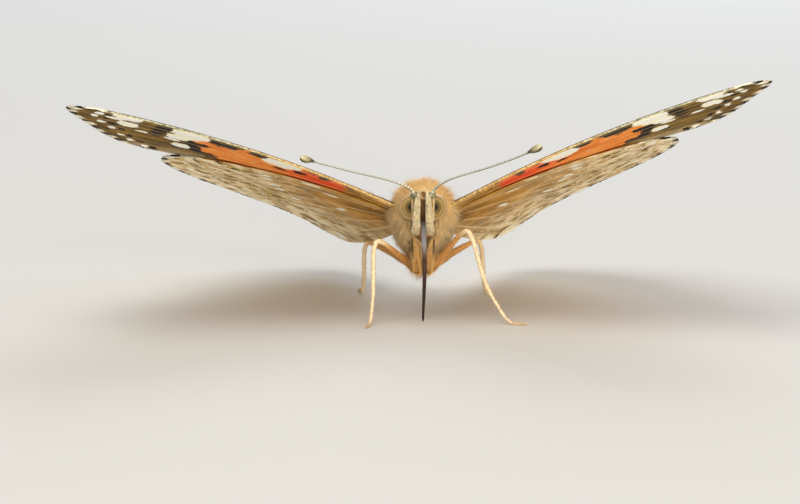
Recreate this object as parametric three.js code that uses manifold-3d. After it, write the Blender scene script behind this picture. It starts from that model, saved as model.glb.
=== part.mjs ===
// A painted lady butterfly (Vanessa cardui), life size, standing on its four walking legs with its wings
// half raised and its tongue let down. Millimetres, +Z up. It faces -Y, so its own left is at +X.
// Every node is one closed solid, and nodes that touch keep the clearance GAP between them.

import * as THREE from "three";
import { mergeVertices } from "three/addons/utils/BufferGeometryUtils.js";
import Module from "manifold-3d";

const wasm = await Module();
wasm.setup();

const rad = THREE.MathUtils.degToRad;
const point = (x, y, z) => new THREE.Vector3(x, y, z);
const SIDES = { left: 1, right: -1 };

// Driving sizes

const GAP = 0.28; // clearance between nodes that meet
const THIN = 0.25; // radius of the thinnest limb

const HEAD = point(0, 0, 9); // middle of the head, above the floor at z = 0
const HEAD_RADII = point(0.95, 1.0, 1.15);
const EYE_OUT = 1.02; // middle of an eye, out from the middle of the head
const EYE_RADII = point(0.85, 0.95, 1.0);

const THORAX = point(0, 4.75, 7.5);
const THORAX_LENGTH = 6.6;
const THORAX_RADII = { wide: 2.1, high: 2.6 };
const BODY_PITCH = rad(14); // the head end of the body is raised by this

const ABDOMEN_ROOT = point(0, 7.6, 6.9);
const ABDOMEN_LENGTH = 9.2;
const ABDOMEN_RADII = { wide: 1.35, high: 1.45 };
const ABDOMEN_PITCH = rad(17);
const ABDOMEN_RINGS = 7; // segments that show

const WING_ROOT = point(1.9, 3, 8.4); // front of the left wings' root, on the side of the thorax
const WING_RISE = { left: rad(18.9), right: rad(14.2) }; // how far each pair is raised from level
const WING_PITCH = rad(15.5); // the wings' rear edge is lower by this
const WING_WALL = 0.5; // thickness of the membrane
const WING_EDGE = 0.36; // thickness at the outer margin
const FORE_SWEEP = rad(26); // the costa runs forward by this
const FORE_LENGTH = 27.2; // root to apex
const HIND_SCALE = 0.95; // of the hindwing's outline below
const HIND_BACK = 2.4; // hindwing's root, behind the forewing's
const PAIR_SPLIT = (WING_WALL + GAP) / 2; // each wing of a pair, off the sheet between them
const SHEET_ARCH = 0.56; // how far the pair bows up between root and tip
const FOLD = 1.5; // how far the hindwing's inner edge hangs down beside the abdomen
const VEIN = { high: 0.15, half: 0.3, end: 0.5 }; // ridge height, half width, and share of height at the margin

// Solids

function solidOf(geometry) {
  const bare = geometry.clone();
  bare.deleteAttribute("normal");
  bare.deleteAttribute("uv");
  const merged = mergeVertices(bare, 1e-4);
  return new wasm.Manifold(
    new wasm.Mesh({
      numProp: 3,
      vertProperties: merged.attributes.position.array,
      triVerts: new Uint32Array(merged.index.array),
    }),
  );
}

const largest = (solid) => solid.decompose().sort((a, b) => b.volume() - a.volume())[0];
const clearOf = (solid, ...others) => largest(others.reduce((left, other) => left.subtract(other), solid));
const joined = (...solids) => largest(solids.reduce((all, one) => all.add(one)));

function ellipsoid(centre, radii, grow = 0, around = 20, down = 14) {
  const ball = new THREE.SphereGeometry(1, around, down);
  ball.scale(radii.x + grow, radii.y + grow, radii.z + grow);
  return solidOf(ball.translate(centre.x, centre.y, centre.z));
}

// A value read off a short list of [share of the way, value] pairs, straight between them.
function profile(pairs) {
  return (share) => {
    const next = Math.max(1, pairs.findIndex(([at]) => at >= share - 1e-9));
    const [from, low] = pairs[next - 1];
    const [to, high] = pairs[next];
    return THREE.MathUtils.mapLinear(share, from, to, low, high);
  };
}

// A round limb along a smooth curve through the points. Its radius is a function of the share of its length.
function limb(points, radiusAt, steps, sides = 8) {
  const curve = new THREE.CatmullRomCurve3(points, false, "centripetal");
  const frames = curve.computeFrenetFrames(steps);
  const tube = new THREE.CylinderGeometry(1, 1, 1, sides, steps);
  const place = tube.attributes.position;
  for (let i = 0; i < place.count; i++) {
    const step = Math.round((0.5 + place.getY(i)) * steps);
    const radius = radiusAt(step / steps);
    const spot = curve
      .getPointAt(step / steps)
      .addScaledVector(frames.binormals[step], radius * place.getX(i))
      .addScaledVector(frames.normals[step], radius * place.getZ(i));
    place.setXYZ(i, ...spot);
  }
  return solidOf(tube);
}

// A body turned about its long axis, from a list of [share of its length, share of its radius], then made oval.
function turnedBody(outline, middle, length, radii, pitch, grow = 0, around = 24) {
  const points = outline.map(([along, out]) => new THREE.Vector2(out, along));
  const turned = new THREE.LatheGeometry(points, around);
  const place = turned.attributes.position;
  for (let i = 0; i < place.count; i++) {
    const out = Math.hypot(place.getX(i), place.getZ(i)) || 1;
    const [across, up] = [place.getX(i) / out, place.getZ(i) / out];
    const inside = out > 1e-6 && place.getX(i) ** 2 + place.getZ(i) ** 2 > 1e-9 ? 1 : 0;
    place.setX(i, place.getX(i) * radii.wide + across * grow * inside);
    place.setZ(i, place.getZ(i) * radii.high + up * grow * inside);
    place.setY(i, place.getY(i) * length + Math.sign(place.getY(i)) * grow);
  }
  turned.rotateX(-pitch);
  return solidOf(turned.translate(middle.x, middle.y, middle.z));
}

// Head: a capsule with the two antenna sockets raised on it

const SOCKET = { out: 0.6, ahead: 0.5, up: 0.95, radii: point(0.32, 0.32, 0.32) };

function headShape(grow) {
  const sockets = Object.values(SIDES).map((side) =>
    ellipsoid(
      HEAD.clone().add(point(side * SOCKET.out, -SOCKET.ahead, SOCKET.up)),
      SOCKET.radii,
      grow,
      12,
      8,
    ),
  );
  return joined(ellipsoid(HEAD, HEAD_RADII, grow), ...sockets);
}

// Thorax: collar, deep middle and narrow rear, with the flap that covers each forewing's root

const THORAX_OUTLINE = [
  [-0.5, 0],
  [-0.5, 0.36],
  [-0.46, 0.5],
  [-0.38, 0.68],
  [-0.26, 0.86],
  [-0.12, 0.97],
  [0.02, 1],
  [0.16, 0.97],
  [0.28, 0.88],
  [0.38, 0.74],
  [0.46, 0.55],
  [0.5, 0.36],
  [0.5, 0],
];
const FLAP = { out: 1.62, back: -1.75, up: 1.75, radii: point(0.5, 0.95, 0.5) };

function thoraxShape(grow) {
  const flaps = Object.values(SIDES).map((side) =>
    ellipsoid(THORAX.clone().add(point(side * FLAP.out, FLAP.back, FLAP.up)), FLAP.radii, grow, 12, 8),
  );
  const barrel = turnedBody(THORAX_OUTLINE, THORAX, THORAX_LENGTH, THORAX_RADII, BODY_PITCH, grow);
  return joined(barrel, ...flaps);
}

// Abdomen: a spindle with a shallow groove between its rings

function abdomenOutline() {
  const swell = profile([[0, 0.5], [0.12, 0.86], [0.3, 1], [0.55, 0.93], [0.8, 0.66], [0.93, 0.42], [1, 0.2]]);
  const stations = ABDOMEN_RINGS * 3;
  const rows = [[-0.5, 0]];
  for (let k = 0; k <= stations; k++) {
    const groove = k % 3 === 0 && k > 0 && k < stations ? 0.93 : 1;
    rows.push([k / stations - 0.5, swell(k / stations) * groove]);
  }
  return [...rows, [0.5, 0]];
}

function abdomenShape() {
  const half = ABDOMEN_LENGTH / 2;
  const middle = ABDOMEN_ROOT.clone().add(
    point(0, half * Math.cos(ABDOMEN_PITCH), -half * Math.sin(ABDOMEN_PITCH)),
  );
  return turnedBody(abdomenOutline(), middle, ABDOMEN_LENGTH, ABDOMEN_RADII, ABDOMEN_PITCH, 0, 18);
}

// Wings. A pair shares one sheet: u runs out from the root, v runs back, and the sheet's height is measured
// square to both. Each wing is a fan of rays from its root to its outer margin.

const FORE_MARGIN = [
  [0.939, 0.007],
  [0.989, 0.046],
  [1.0, 0.107],
  [0.964, 0.179],
  [0.9, 0.261],
  [0.832, 0.35],
  [0.764, 0.436],
  [0.689, 0.5],
  [0.607, 0.507],
].map(([out, back]) => new THREE.Vector2(out * FORE_LENGTH, back * FORE_LENGTH));
const HIND_MARGIN = [
  [17.2, 0.6],
  [19.6, 2.6],
  [20.6, 5.6],
  [20.6, 8.8],
  [19.4, 12.2],
  [17.0, 15.4],
  [13.8, 18.2],
  [10.2, 20.4],
  [7.0, 21.2],
  [4.6, 19.8],
].map(([out, back]) => new THREE.Vector2(out * HIND_SCALE, back * HIND_SCALE));

// Where each vein ends, counted in points along the margin, and the share of the ray where it leaves its stem.
const FORE_WING = {
  margin: new THREE.SplineCurve(FORE_MARGIN),
  root: { inside: 0.5, wide: 1.7 },
  bow: { front: -2, rear: 0.4 },
  veins: [
    [1, 0],
    [2.1, 0],
    [3, 0.5],
    [4, 0.5],
    [4.9, 0],
    [5.8, 0.36],
    [6.7, 0.24],
    [7.55, 0],
  ],
  cell: { ends: 0.5, from: 2.1, to: 4.9 },
  turn: FORE_SWEEP,
  back: 0,
  lift: PAIR_SPLIT,
};
const HIND_WING = {
  margin: new THREE.SplineCurve(HIND_MARGIN),
  root: { inside: 0.9, wide: 2.2 },
  bow: { front: -2.3, rear: 0.85 },
  veins: [
    [0.9, 0],
    [2, 0],
    [3, 0.42],
    [3.9, 0.42],
    [4.8, 0],
    [5.8, 0.34],
    [6.8, 0.2],
    [7.8, 0],
  ],
  cell: { ends: 0.42, from: 2, to: 4.8 },
  turn: 0,
  back: HIND_BACK,
  lift: -PAIR_SPLIT,
};

function sheetHeight(u, v) {
  const reach = THREE.MathUtils.clamp(u / FORE_LENGTH, 0, 1.05);
  const hang = Math.exp(-((u / 6) ** 2)) * THREE.MathUtils.clamp(v / 18, 0, 1.3) ** 2;
  return SHEET_ARCH * 4 * reach * (1 - reach) - FOLD * hang;
}

// The point of a wing's plan at share s of the way out along the ray that ends at share t of the margin.
function wingPlan(wing, s, t) {
  const root = new THREE.Vector2(-wing.root.inside, wing.root.wide * t);
  const ray = wing.margin.getPoint(t).sub(root);
  const bow = THREE.MathUtils.lerp(wing.bow.front, wing.bow.rear, t) * 4 * s * (1 - s);
  const square = new THREE.Vector2(-ray.y, ray.x).normalize();
  const spot = root.addScaledVector(ray, s).addScaledVector(square, bow);
  return spot.rotateAround(new THREE.Vector2(), -wing.turn);
}

const spotBetween = (value, low, high) => THREE.MathUtils.smoothstep(value, low, high);

// The forewing's rear lies over the hindwing's front. There the faces that look at each other stay smooth.
const underFore = (u, v) => 1 - spotBetween(v, u * 0.27 + 2.2, u * 0.27 + 3.4);
const overHind = (u, v) => spotBetween(v, -1.6, -0.6) * (1 - spotBetween(u, 19.5, 20.5));

function veinColumns(wing) {
  const spans = wing.margin.points.length - 1;
  const inner = wing.veins.map(([end, from]) => ({ t: end / spans, from }));
  const crests = [{ t: 0, from: 0 }, ...inner, { t: 1, from: 1 }];
  return crests.flatMap((crest, k) => {
    const before = k > 0 ? crest.t - crests[k - 1].t : 0;
    const after = k < crests.length - 1 ? crests[k + 1].t - crest.t : 0;
    const foot = { t: crest.t, from: 2 };
    return [
      ...(k > 0 ? [{ ...foot, shift: -1, room: before }] : []),
      { ...crest, shift: 0, room: 0 },
      ...(after ? [{ ...foot, shift: 1, room: after }] : []),
    ];
  });
}

function wingRows(wing) {
  const cell = wing.cell.ends;
  const plain = [0, 0.06, 0.14, 0.24, 0.35, 0.6, 0.71, 0.82, 0.92, 1];
  return [...plain, cell - 0.015, cell, cell + 0.015].sort((a, b) => a - b);
}

function wingSolid(wing, side) {
  const rows = wingRows(wing);
  const columns = veinColumns(wing);
  const spans = wing.margin.points.length - 1;
  const rise = WING_RISE[side];
  const upper = [];
  const lower = [];
  const placed = (u, v, height) => {
    const across = u * Math.cos(rise) - height * Math.sin(rise);
    const up = u * Math.sin(rise) + height * Math.cos(rise);
    return [
      SIDES[side] * (WING_ROOT.x + across),
      WING_ROOT.y + v * Math.cos(WING_PITCH) + up * Math.sin(WING_PITCH),
      WING_ROOT.z - v * Math.sin(WING_PITCH) + up * Math.cos(WING_PITCH),
    ];
  };
  for (const s of rows) {
    for (const column of columns) {
      const speed = wingPlan(wing, s, Math.min(1, column.t + 0.01)).distanceTo(
        wingPlan(wing, s, Math.max(0, column.t - 0.01)),
      );
      const wide = column.t > 0 && column.t < 1 ? 0.02 : 0.01;
      const t = column.t + column.shift * Math.min((VEIN.half * wide) / speed, 0.4 * column.room);
      const end = t * spans;
      const plan = wingPlan(wing, s, t);
      const [u, v] = [plan.x, plan.y + wing.back];
      const acrossCell = end > wing.cell.from - 0.01 && end < wing.cell.to + 0.01;
      const inCell = acrossCell && Math.abs(s - wing.cell.ends) < 0.001;
      const raised = column.from <= s || inCell ? VEIN.high * THREE.MathUtils.lerp(1, VEIN.end, s) : 0;
      const half = THREE.MathUtils.lerp(WING_WALL, WING_EDGE, spotBetween(s, 0.9, 1)) / 2;
      const middle = sheetHeight(u, v) + wing.lift;
      const isFore = wing === FORE_WING;
      const above = raised * (isFore ? 1 : 1 - underFore(u, v));
      const below = raised * (isFore ? 1 - overHind(u, v) : 1);
      upper.push(placed(u, v, middle + half + above));
      lower.push(placed(u, v, middle - half - below));
    }
  }
  return plateSolid(upper, lower, rows.length - 1, columns.length - 1, SIDES[side] < 0);
}

// Two sheets of the same grid of points, split into triangles alike and closed round the rim.
function plateSolid(upper, lower, rows, columns, mirrored) {
  const plane = new THREE.PlaneGeometry(1, 1, columns, rows);
  const across = columns + 1;
  const count = upper.length;
  const top = Array.from(plane.index.array);
  const faces = [];
  for (let i = 0; i < top.length; i += 3) {
    const [a, b, c] = top.slice(i, i + 3);
    faces.push([a, b, c], [a + count, c + count, b + count]);
  }
  const rim = [];
  for (let i = 0; i < columns; i++) rim.push(i);
  for (let i = 0; i < rows; i++) rim.push(i * across + columns);
  for (let i = columns; i > 0; i--) rim.push(rows * across + i);
  for (let i = rows; i > 0; i--) rim.push(i * across);
  rim.forEach((a, i) => {
    const b = rim[(i + 1) % rim.length];
    faces.push([a, b, b + count], [a, b + count, a + count]);
  });
  const geometry = new THREE.BufferGeometry();
  geometry.setAttribute("position", new THREE.Float32BufferAttribute([...upper, ...lower].flat(), 3));
  geometry.setIndex(faces.map(([a, b, c]) => (mirrored ? [a, c, b] : [a, b, c])).flat());
  return solidOf(geometry);
}

// Antennae: a thin shaft that ends in a club

const ANTENNA = {
  left: [
    point(0.6, -0.5, 9.9),
    point(0.9, -0.9, 10.55),
    point(1.76, -2.0, 11.29),
    point(5.08, -6.3, 12.95),
    point(7.03, -9.0, 14.03),
    point(8.7, -11.4, 15.1),
  ],
  right: [
    point(0.6, -0.5, 9.9),
    point(0.95, -0.9, 10.5),
    point(2.21, -2.0, 11.22),
    point(5.38, -6.3, 12.59),
    point(7.44, -9.0, 13.5),
    point(9.0, -11.4, 14.25),
  ],
};
const antennaRadius = profile([
  [0, 0.3],
  [0.06, THIN],
  [0.88, THIN],
  [0.92, 0.36],
  [0.95, 0.4],
  [0.98, 0.34],
  [1, 0.14],
]);

// Palps: scaled feelers that rise in front of the face, one each side of the tongue

const PALP = [
  point(0.66, -0.4, 7.1),
  point(0.64, -1.15, 7.25),
  point(0.56, -1.6, 8.2),
  point(0.48, -1.64, 9.3),
  point(0.31, -1.5, 10.35),
];
const palpRadius = profile([[0, 0.2], [0.12, 0.32], [0.35, 0.33], [0.75, 0.28], [1, 0.08]]);

// Tongue: out between the palps, over a knee and down towards the floor

const TONGUE = [
  point(0, -0.5, 8.05),
  point(0.03, -1.5, 7.55),
  point(0.09, -2.7, 6.4),
  point(0.13, -3.25, 5),
  point(0.1, -3.15, 3.4),
  point(0.04, -2.8, 1.7),
  point(0, -2.45, 0.5),
];
const tongueRadius = profile([[0, 0.24], [0.85, 0.23], [1, 0.1]]);

// Legs: coxa, femur up to the knee, shin down, and a foot whose end lies on the floor.
// The front pair is small, and folded up under the head.

const SOLE = 0.2; // height of a foot's middle line where it lies flat, less than its radius
const FOOT = 0.25;
const walkingRadius = profile([
  [0, 0.5],
  [0.14, 0.36],
  [0.3, 0.29],
  [0.4, THIN],
  [0.66, 0.26],
  [0.72, THIN],
  [0.97, FOOT],
  [1, 0.18],
]);
const FORE_LEG = [
  point(0.85, 2.5, 6.6),
  point(0.66, 1.95, 5.2),
  point(0.45, 1.55, 4.1),
  point(0.43, 1.0, 3.85),
  point(0.52, 0.5, 4.6),
  point(0.72, 0.2, 6.3),
];
const LEGS = {
  fore: {
    left: FORE_LEG,
    right: FORE_LEG,
    radius: profile([[0, 0.34], [0.4, 0.26], [0.85, 0.26], [1, 0.12]]),
    steps: 18,
  },
  mid: {
    left: [
      point(1.15, 4.1, 5.6),
      point(0.75, 3.75, 4.3),
      point(0.62, 3.35, 3.75),
      point(1.5, 2.5, 4.85),
      point(3.4, 0.5, 7.05),
      point(3.75, 0.25, 6.6),
      point(4.8, -0.3, 3.2),
      point(5.7, -0.6, 1.5),
      point(6.5, -0.9, 0.45),
      point(6.9, -1.05, SOLE),
      point(8.0, -1.5, SOLE),
    ],
    right: [
      point(1.15, 4.1, 5.6),
      point(0.75, 3.75, 4.3),
      point(0.62, 3.35, 3.75),
      point(1.5, 2.4, 4.6),
      point(3.5, 0.5, 6.25),
      point(3.75, 0.3, 5.8),
      point(3.85, -0.4, 2.2),
      point(3.95, -0.85, 1.1),
      point(4.05, -1.4, 0.4),
      point(4.12, -1.8, SOLE),
      point(4.4, -3.0, SOLE),
    ],
    radius: walkingRadius,
    steps: 34,
  },
  hind: {
    left: [
      point(1.0, 6.4, 5.4),
      point(0.75, 6.5, 4.2),
      point(1.0, 6.7, 3.75),
      point(2.6, 7.8, 4.4),
      point(4.35, 9.0, 5.0),
      point(4.6, 9.4, 4.6),
      point(4.9, 11.7, 1.35),
      point(5.05, 12.5, 0.55),
      point(5.15, 13.2, SOLE),
      point(5.5, 15.2, SOLE),
    ],
    right: [
      point(1.0, 6.4, 5.4),
      point(0.75, 6.5, 4.2),
      point(1.0, 6.7, 3.75),
      point(2.6, 7.8, 4.3),
      point(4.35, 9.0, 4.85),
      point(4.6, 9.4, 4.45),
      point(4.75, 11.9, 1.35),
      point(4.85, 12.7, 0.55),
      point(4.95, 13.4, SOLE),
      point(5.2, 15.4, SOLE),
    ],
    radius: walkingRadius,
    steps: 34,
  },
};

function floorBelow() {
  const slab = new THREE.BoxGeometry(80, 80, 2);
  return solidOf(slab.translate(0, 0, -1));
}

// Colours

const material = (color, roughness) => new THREE.MeshStandardMaterial({ color, roughness, metalness: 0 });
const FUR = material("#c79a63", 0.9);
const CREAM = material("#e2d3a8", 0.85);
const EYE = material("#75683f", 0.35);
const WING = material("#c9772c", 0.8);
const HORN = material("#4a3322", 0.5);

// Assembly

const butterfly = new THREE.Group();

function addNode(name, solid, look) {
  const { vertProperties, triVerts } = solid.getMesh();
  const geometry = new THREE.BufferGeometry();
  geometry.setAttribute("position", new THREE.BufferAttribute(vertProperties, 3));
  geometry.setIndex(new THREE.BufferAttribute(triVerts, 1));
  geometry.computeVertexNormals();
  const mesh = new THREE.Mesh(geometry, look);
  mesh.name = name;
  butterfly.add(mesh);
}

const mirrored = (points, side) => points.map((p) => point(SIDES[side] * p.x, p.y, p.z));
const roomForHead = headShape(GAP);
const roomForThorax = thoraxShape(GAP);
const floor = floorBelow();

addNode("thorax", thoraxShape(0), FUR);
addNode("abdomen", clearOf(abdomenShape(), roomForThorax), FUR);
addNode("head", clearOf(headShape(0), roomForThorax), FUR);
addNode("proboscis", clearOf(limb(TONGUE, tongueRadius, 18), roomForHead), HORN);

for (const side of Object.keys(SIDES)) {
  const eye = ellipsoid(HEAD.clone().add(point(SIDES[side] * EYE_OUT, -0.05, 0)), EYE_RADII, 0, 18, 12);
  addNode(`eye_${side}`, clearOf(eye, roomForHead, roomForThorax), EYE);
  const antenna = limb(mirrored(ANTENNA[side], side), antennaRadius, 22);
  addNode(`antenna_${side}`, clearOf(antenna, roomForHead), HORN);
  addNode(`palp_${side}`, clearOf(limb(mirrored(PALP, side), palpRadius, 14), roomForHead), CREAM);
  addNode(`forewing_${side}`, clearOf(wingSolid(FORE_WING, side), roomForThorax), WING);
  addNode(`hindwing_${side}`, clearOf(wingSolid(HIND_WING, side), roomForThorax), WING);
  for (const [pair, leg] of Object.entries(LEGS)) {
    const whole = limb(mirrored(leg[side], side), leg.radius, leg.steps);
    addNode(`${pair}leg_${side}`, clearOf(whole, roomForThorax, floor), CREAM);
  }
}

// The origin is the middle of the floor that the outline covers.
const outline = new THREE.Box3().setFromObject(butterfly);
const centre = outline.getCenter(new THREE.Vector3());
butterfly.position.set(-centre.x, -centre.y, 0);

export default butterfly;
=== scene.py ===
# %% [markdown]
# # A painted lady butterfly, with its wings half raised and its tongue let down
# The real animal is a soft, furry body the size of a small bean, carried on four thin legs, with four wings
# that are each a dry skin far thinner than paper. The scales that colour it are about a tenth of a
# millimetre long. The first step loads the solids that everything else is dressed on.

# %% Load the frame
import bpy
import numpy as np
from mathutils import Matrix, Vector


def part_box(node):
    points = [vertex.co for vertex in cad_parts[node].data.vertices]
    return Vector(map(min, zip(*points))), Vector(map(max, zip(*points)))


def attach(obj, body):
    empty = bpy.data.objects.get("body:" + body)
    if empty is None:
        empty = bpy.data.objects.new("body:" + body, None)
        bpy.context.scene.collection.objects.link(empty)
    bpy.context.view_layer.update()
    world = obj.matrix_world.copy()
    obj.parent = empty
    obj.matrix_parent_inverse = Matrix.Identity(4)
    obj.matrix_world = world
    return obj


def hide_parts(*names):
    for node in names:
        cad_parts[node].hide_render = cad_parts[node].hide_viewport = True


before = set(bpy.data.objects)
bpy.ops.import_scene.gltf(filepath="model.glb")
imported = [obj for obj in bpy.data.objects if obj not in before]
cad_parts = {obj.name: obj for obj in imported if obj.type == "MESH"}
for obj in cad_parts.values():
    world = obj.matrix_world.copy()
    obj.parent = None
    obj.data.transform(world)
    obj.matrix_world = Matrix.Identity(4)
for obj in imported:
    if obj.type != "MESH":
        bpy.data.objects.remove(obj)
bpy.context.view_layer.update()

MM = 0.001

# %% [markdown]
# ## Where the head is
# Every size below is in millimetres, measured from the floor under the middle of the head, with the face
# looking along -Y. The solids stand a little to one side of that point, so the shift between the two is read
# off the eyes' boxes once and added to every point.

# %% Find the head
HEAD = np.array([0.0, 0.0, 9.0])
EYE_OUT, EYE_BACK = 1.02, -0.05
EYE_RADII = np.array([0.85, 0.95, 1.0])
eye_boxes = [np.array(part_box(f"eye_{side}"), float) / MM for side in ("left", "right")]
SHIFT = np.array([
    (eye_boxes[0][1, 0] + eye_boxes[1][0, 0]) / 2,
    eye_boxes[0][:, 1].mean() - EYE_BACK,
    0.0,
])
SIDES = {"left": 1.0, "right": -1.0}
print("shift of the solids", SHIFT.round(3))

# %% [markdown]
# ## Helpers for surfaces
# Blender takes a mesh as flat arrays. A surface here is a grid of points from a formula, so its faces can be
# numbered by arithmetic, with no loop over points. A closed surface whose volume comes out negative is inside
# out, and its faces are turned round. No point is left below the floor.


# %% Mesh helpers
FLOOR_GUARD = 0.002


def faces_of_grid(rows, columns, start=0):
    """Quads between neighbouring points of a grid that is rows by columns, numbered from start."""
    number = start + np.arange(rows * columns).reshape(rows, columns)
    return np.stack([number[:-1, :-1], number[:-1, 1:], number[1:, 1:], number[1:, :-1]], -1).reshape(-1, 4)


def faces_of_tube(rings, around):
    """Quads between neighbouring rings, each ring joined to its own start, and at either end a fan of
    triangles to a pole. The poles are the two points after the grid."""
    number = np.arange(rings * around).reshape(rings, around)
    beside = np.roll(number, -1, 1)
    walls = np.stack([number[:-1], beside[:-1], beside[1:], number[1:]], -1).reshape(-1, 4)
    first, last = np.full(around, rings * around), np.full(around, rings * around + 1)
    front = np.stack([first, beside[0], number[0]], -1)
    back = np.stack([last, number[-1], beside[-1]], -1)
    return [walls, np.concatenate([front, back])]


def volume_of(points, faces):
    """Sum of the signed tetrahedra from the origin to each face."""
    total = 0.0
    for block in faces:
        a = points[block[:, 0]]
        for k in range(1, block.shape[1] - 1):
            total += np.einsum("ij,ij->", a, np.cross(points[block[:, k]], points[block[:, k + 1]])) / 6
    return total


def new_piece(name, points, faces, look, nodes=(), fields=None, maps=None):
    """Puts a closed surface into a mesh object at the origin. points are in millimetres from the floor under
    the head, fields are numbers per point, and maps are UV places per point."""
    points = np.array(points, float).reshape(-1, 3)
    points[:, 2] = np.maximum(points[:, 2], FLOOR_GUARD)
    if volume_of(points, faces) < 0:
        faces = [block[:, ::-1] for block in faces]
    corners = np.concatenate([block.ravel() for block in faces]).astype(np.int32)
    sizes = np.concatenate([np.full(len(block), block.shape[1]) for block in faces])
    starts = np.concatenate([[0], np.cumsum(sizes)[:-1]]).astype(np.int32)
    mesh = bpy.data.meshes.new(name)
    mesh.vertices.add(len(points))
    mesh.vertices.foreach_set("co", ((points + SHIFT) * MM).astype(np.float32).ravel())
    mesh.loops.add(len(corners))
    mesh.loops.foreach_set("vertex_index", corners)
    mesh.polygons.add(len(sizes))
    mesh.polygons.foreach_set("loop_start", starts)
    mesh.polygons.foreach_set("use_smooth", np.ones(len(sizes), bool))
    mesh.update(calc_edges=True)
    for field, values in (fields or {}).items():
        spread = mesh.attributes.new(field, "FLOAT", "POINT")
        spread.data.foreach_set("value", np.asarray(values, np.float32).ravel())
    for title, places in (maps or {}).items():
        layer = mesh.uv_layers.new(name=title)
        layer.data.foreach_set("uv", np.asarray(places, np.float32).reshape(-1, 2)[corners].ravel())
    mesh.materials.append(look.material)
    piece = bpy.data.objects.new(name, mesh)
    bpy.context.scene.collection.objects.link(piece)
    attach(piece, "root")
    if nodes:
        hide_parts(*nodes)
    print(f"{name}: {len(points)} points, {sum(len(b) * (b.shape[1] - 2) for b in faces)} triangles")
    return piece


def unit(vectors):
    """Each vector divided by its length."""
    return vectors / np.maximum(np.linalg.norm(vectors, axis=-1, keepdims=True), 1e-9)


def ease(value, low, high):
    """0 below low, 1 above high, and an S-curve between."""
    x = np.clip((value - low) / (high - low), 0, 1)
    return x * x * (3 - 2 * x)


# %% [markdown]
# ## Paths for limbs
# Legs, antennae, feelers and the tongue are round sections carried along a smooth curve. The curve is a
# Catmull-Rom spline whose steps follow the root of the distance between its points, which keeps it from
# looping at a knee. The sections are turned as little as possible from one to the next.


# %% Path helpers
def smooth_path(points, count):
    """A centripetal Catmull-Rom curve through the points, read at count places evenly spaced by length."""
    p = np.asarray(points, float)
    p = np.concatenate([[2 * p[0] - p[1]], p, [2 * p[-1] - p[-2]]])
    gap = np.maximum(np.linalg.norm(np.diff(p, axis=0), axis=1) ** 0.5, 1e-4)[:, None]
    p0, p1, p2, p3 = p[:-3], p[1:-2], p[2:-1], p[3:]
    g0, g1, g2 = gap[:-2], gap[1:-1], gap[2:]
    leave = g1 * ((p1 - p0) / g0 - (p2 - p0) / (g0 + g1) + (p2 - p1) / g1)
    reach = g1 * ((p2 - p1) / g1 - (p3 - p1) / (g1 + g2) + (p3 - p2) / g2)
    w = np.linspace(0, 1, 40, endpoint=False)[None, :, None]
    start, end, leave, reach = (v[:, None] for v in (p1, p2, leave, reach))
    curve = (
        start
        + leave * w
        + (3 * (end - start) - 2 * leave - reach) * w**2
        + (2 * (start - end) + leave + reach) * w**3
    ).reshape(-1, 3)
    curve = np.concatenate([curve, p[-2:-1]])
    length = np.concatenate([[0], np.cumsum(np.linalg.norm(np.diff(curve, axis=0), axis=1))])
    want = np.linspace(0, length[-1], count)
    return np.stack([np.interp(want, length, curve[:, k]) for k in range(3)], -1)


def sections(path, across):
    """For each place of a path its direction, and two square to it that turn as little as they can. The
    first starts as near to across as it can lie."""
    along = unit(np.gradient(path, axis=0))
    wide = np.empty_like(path)
    wide[0] = unit(across - along[0] * (along[0] @ across))
    for k in range(1, len(path)):
        turned = wide[k - 1] - along[k] * (along[k] @ wide[k - 1])
        wide[k] = turned / np.linalg.norm(turned)
    return along, wide, np.cross(along, wide)


def limb(path, radii, around, across=(1, 0, 0), oval=1.0):
    """A round or oval section carried along a path. Returns the grid and the two poles."""
    along, wide, deep = sections(path, np.array(across, float))
    turn = np.linspace(0, 2 * np.pi, around, endpoint=False)
    radii = np.broadcast_to(radii, (len(path), around))[..., None]
    ring = wide[:, None] * np.cos(turn)[None, :, None] + oval * deep[:, None] * np.sin(turn)[None, :, None]
    grid = path[:, None] + radii * ring
    return grid, np.stack([path[0] - along[0] * radii[0, 0], path[-1] + along[-1] * radii[-1, 0]])


def steps(share, pairs):
    """A value read off pairs of share and value, straight between them."""
    return np.interp(share, [at for at, _ in pairs], [value for _, value in pairs])


def new_tube(name, grid, poles, look, nodes=(), fields=None):
    """A closed piece from the rings of a grid and the poles that shut its ends."""
    faces = faces_of_tube(*grid.shape[:2])
    return new_piece(name, closed_points(grid, poles), faces, look, nodes, fields)


def closed_points(grid, poles):
    """The grid's points with the two poles after them."""
    return np.concatenate([grid.reshape(-1, 3), poles])


def along_field(grid):
    """How far along a limb each point lies, from 0 to 1, with the poles."""
    share = np.repeat(np.linspace(0, 1, grid.shape[0]), grid.shape[1])
    return np.concatenate([share, [0, 1]])


def tube_map(rings, around):
    """An unwrap of a tube: its length is the map's width, and once round is the map's height."""
    sides = np.linspace(0.01, 0.99, rings), np.linspace(0.01, 0.99, around)
    return np.stack(np.meshgrid(*sides, indexing="ij"), -1)


# %% [markdown]
# ## Tufts
# Fur and long scales are real meshes here, so that they also show in the exported model. A tuft is a thin
# three-sided spike that bends over. Thousands share one formula: root, direction, length and bend are arrays,
# and the whole coat is one mesh. Each tuft is a small patch of the map, at the place that it grows from.


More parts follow.
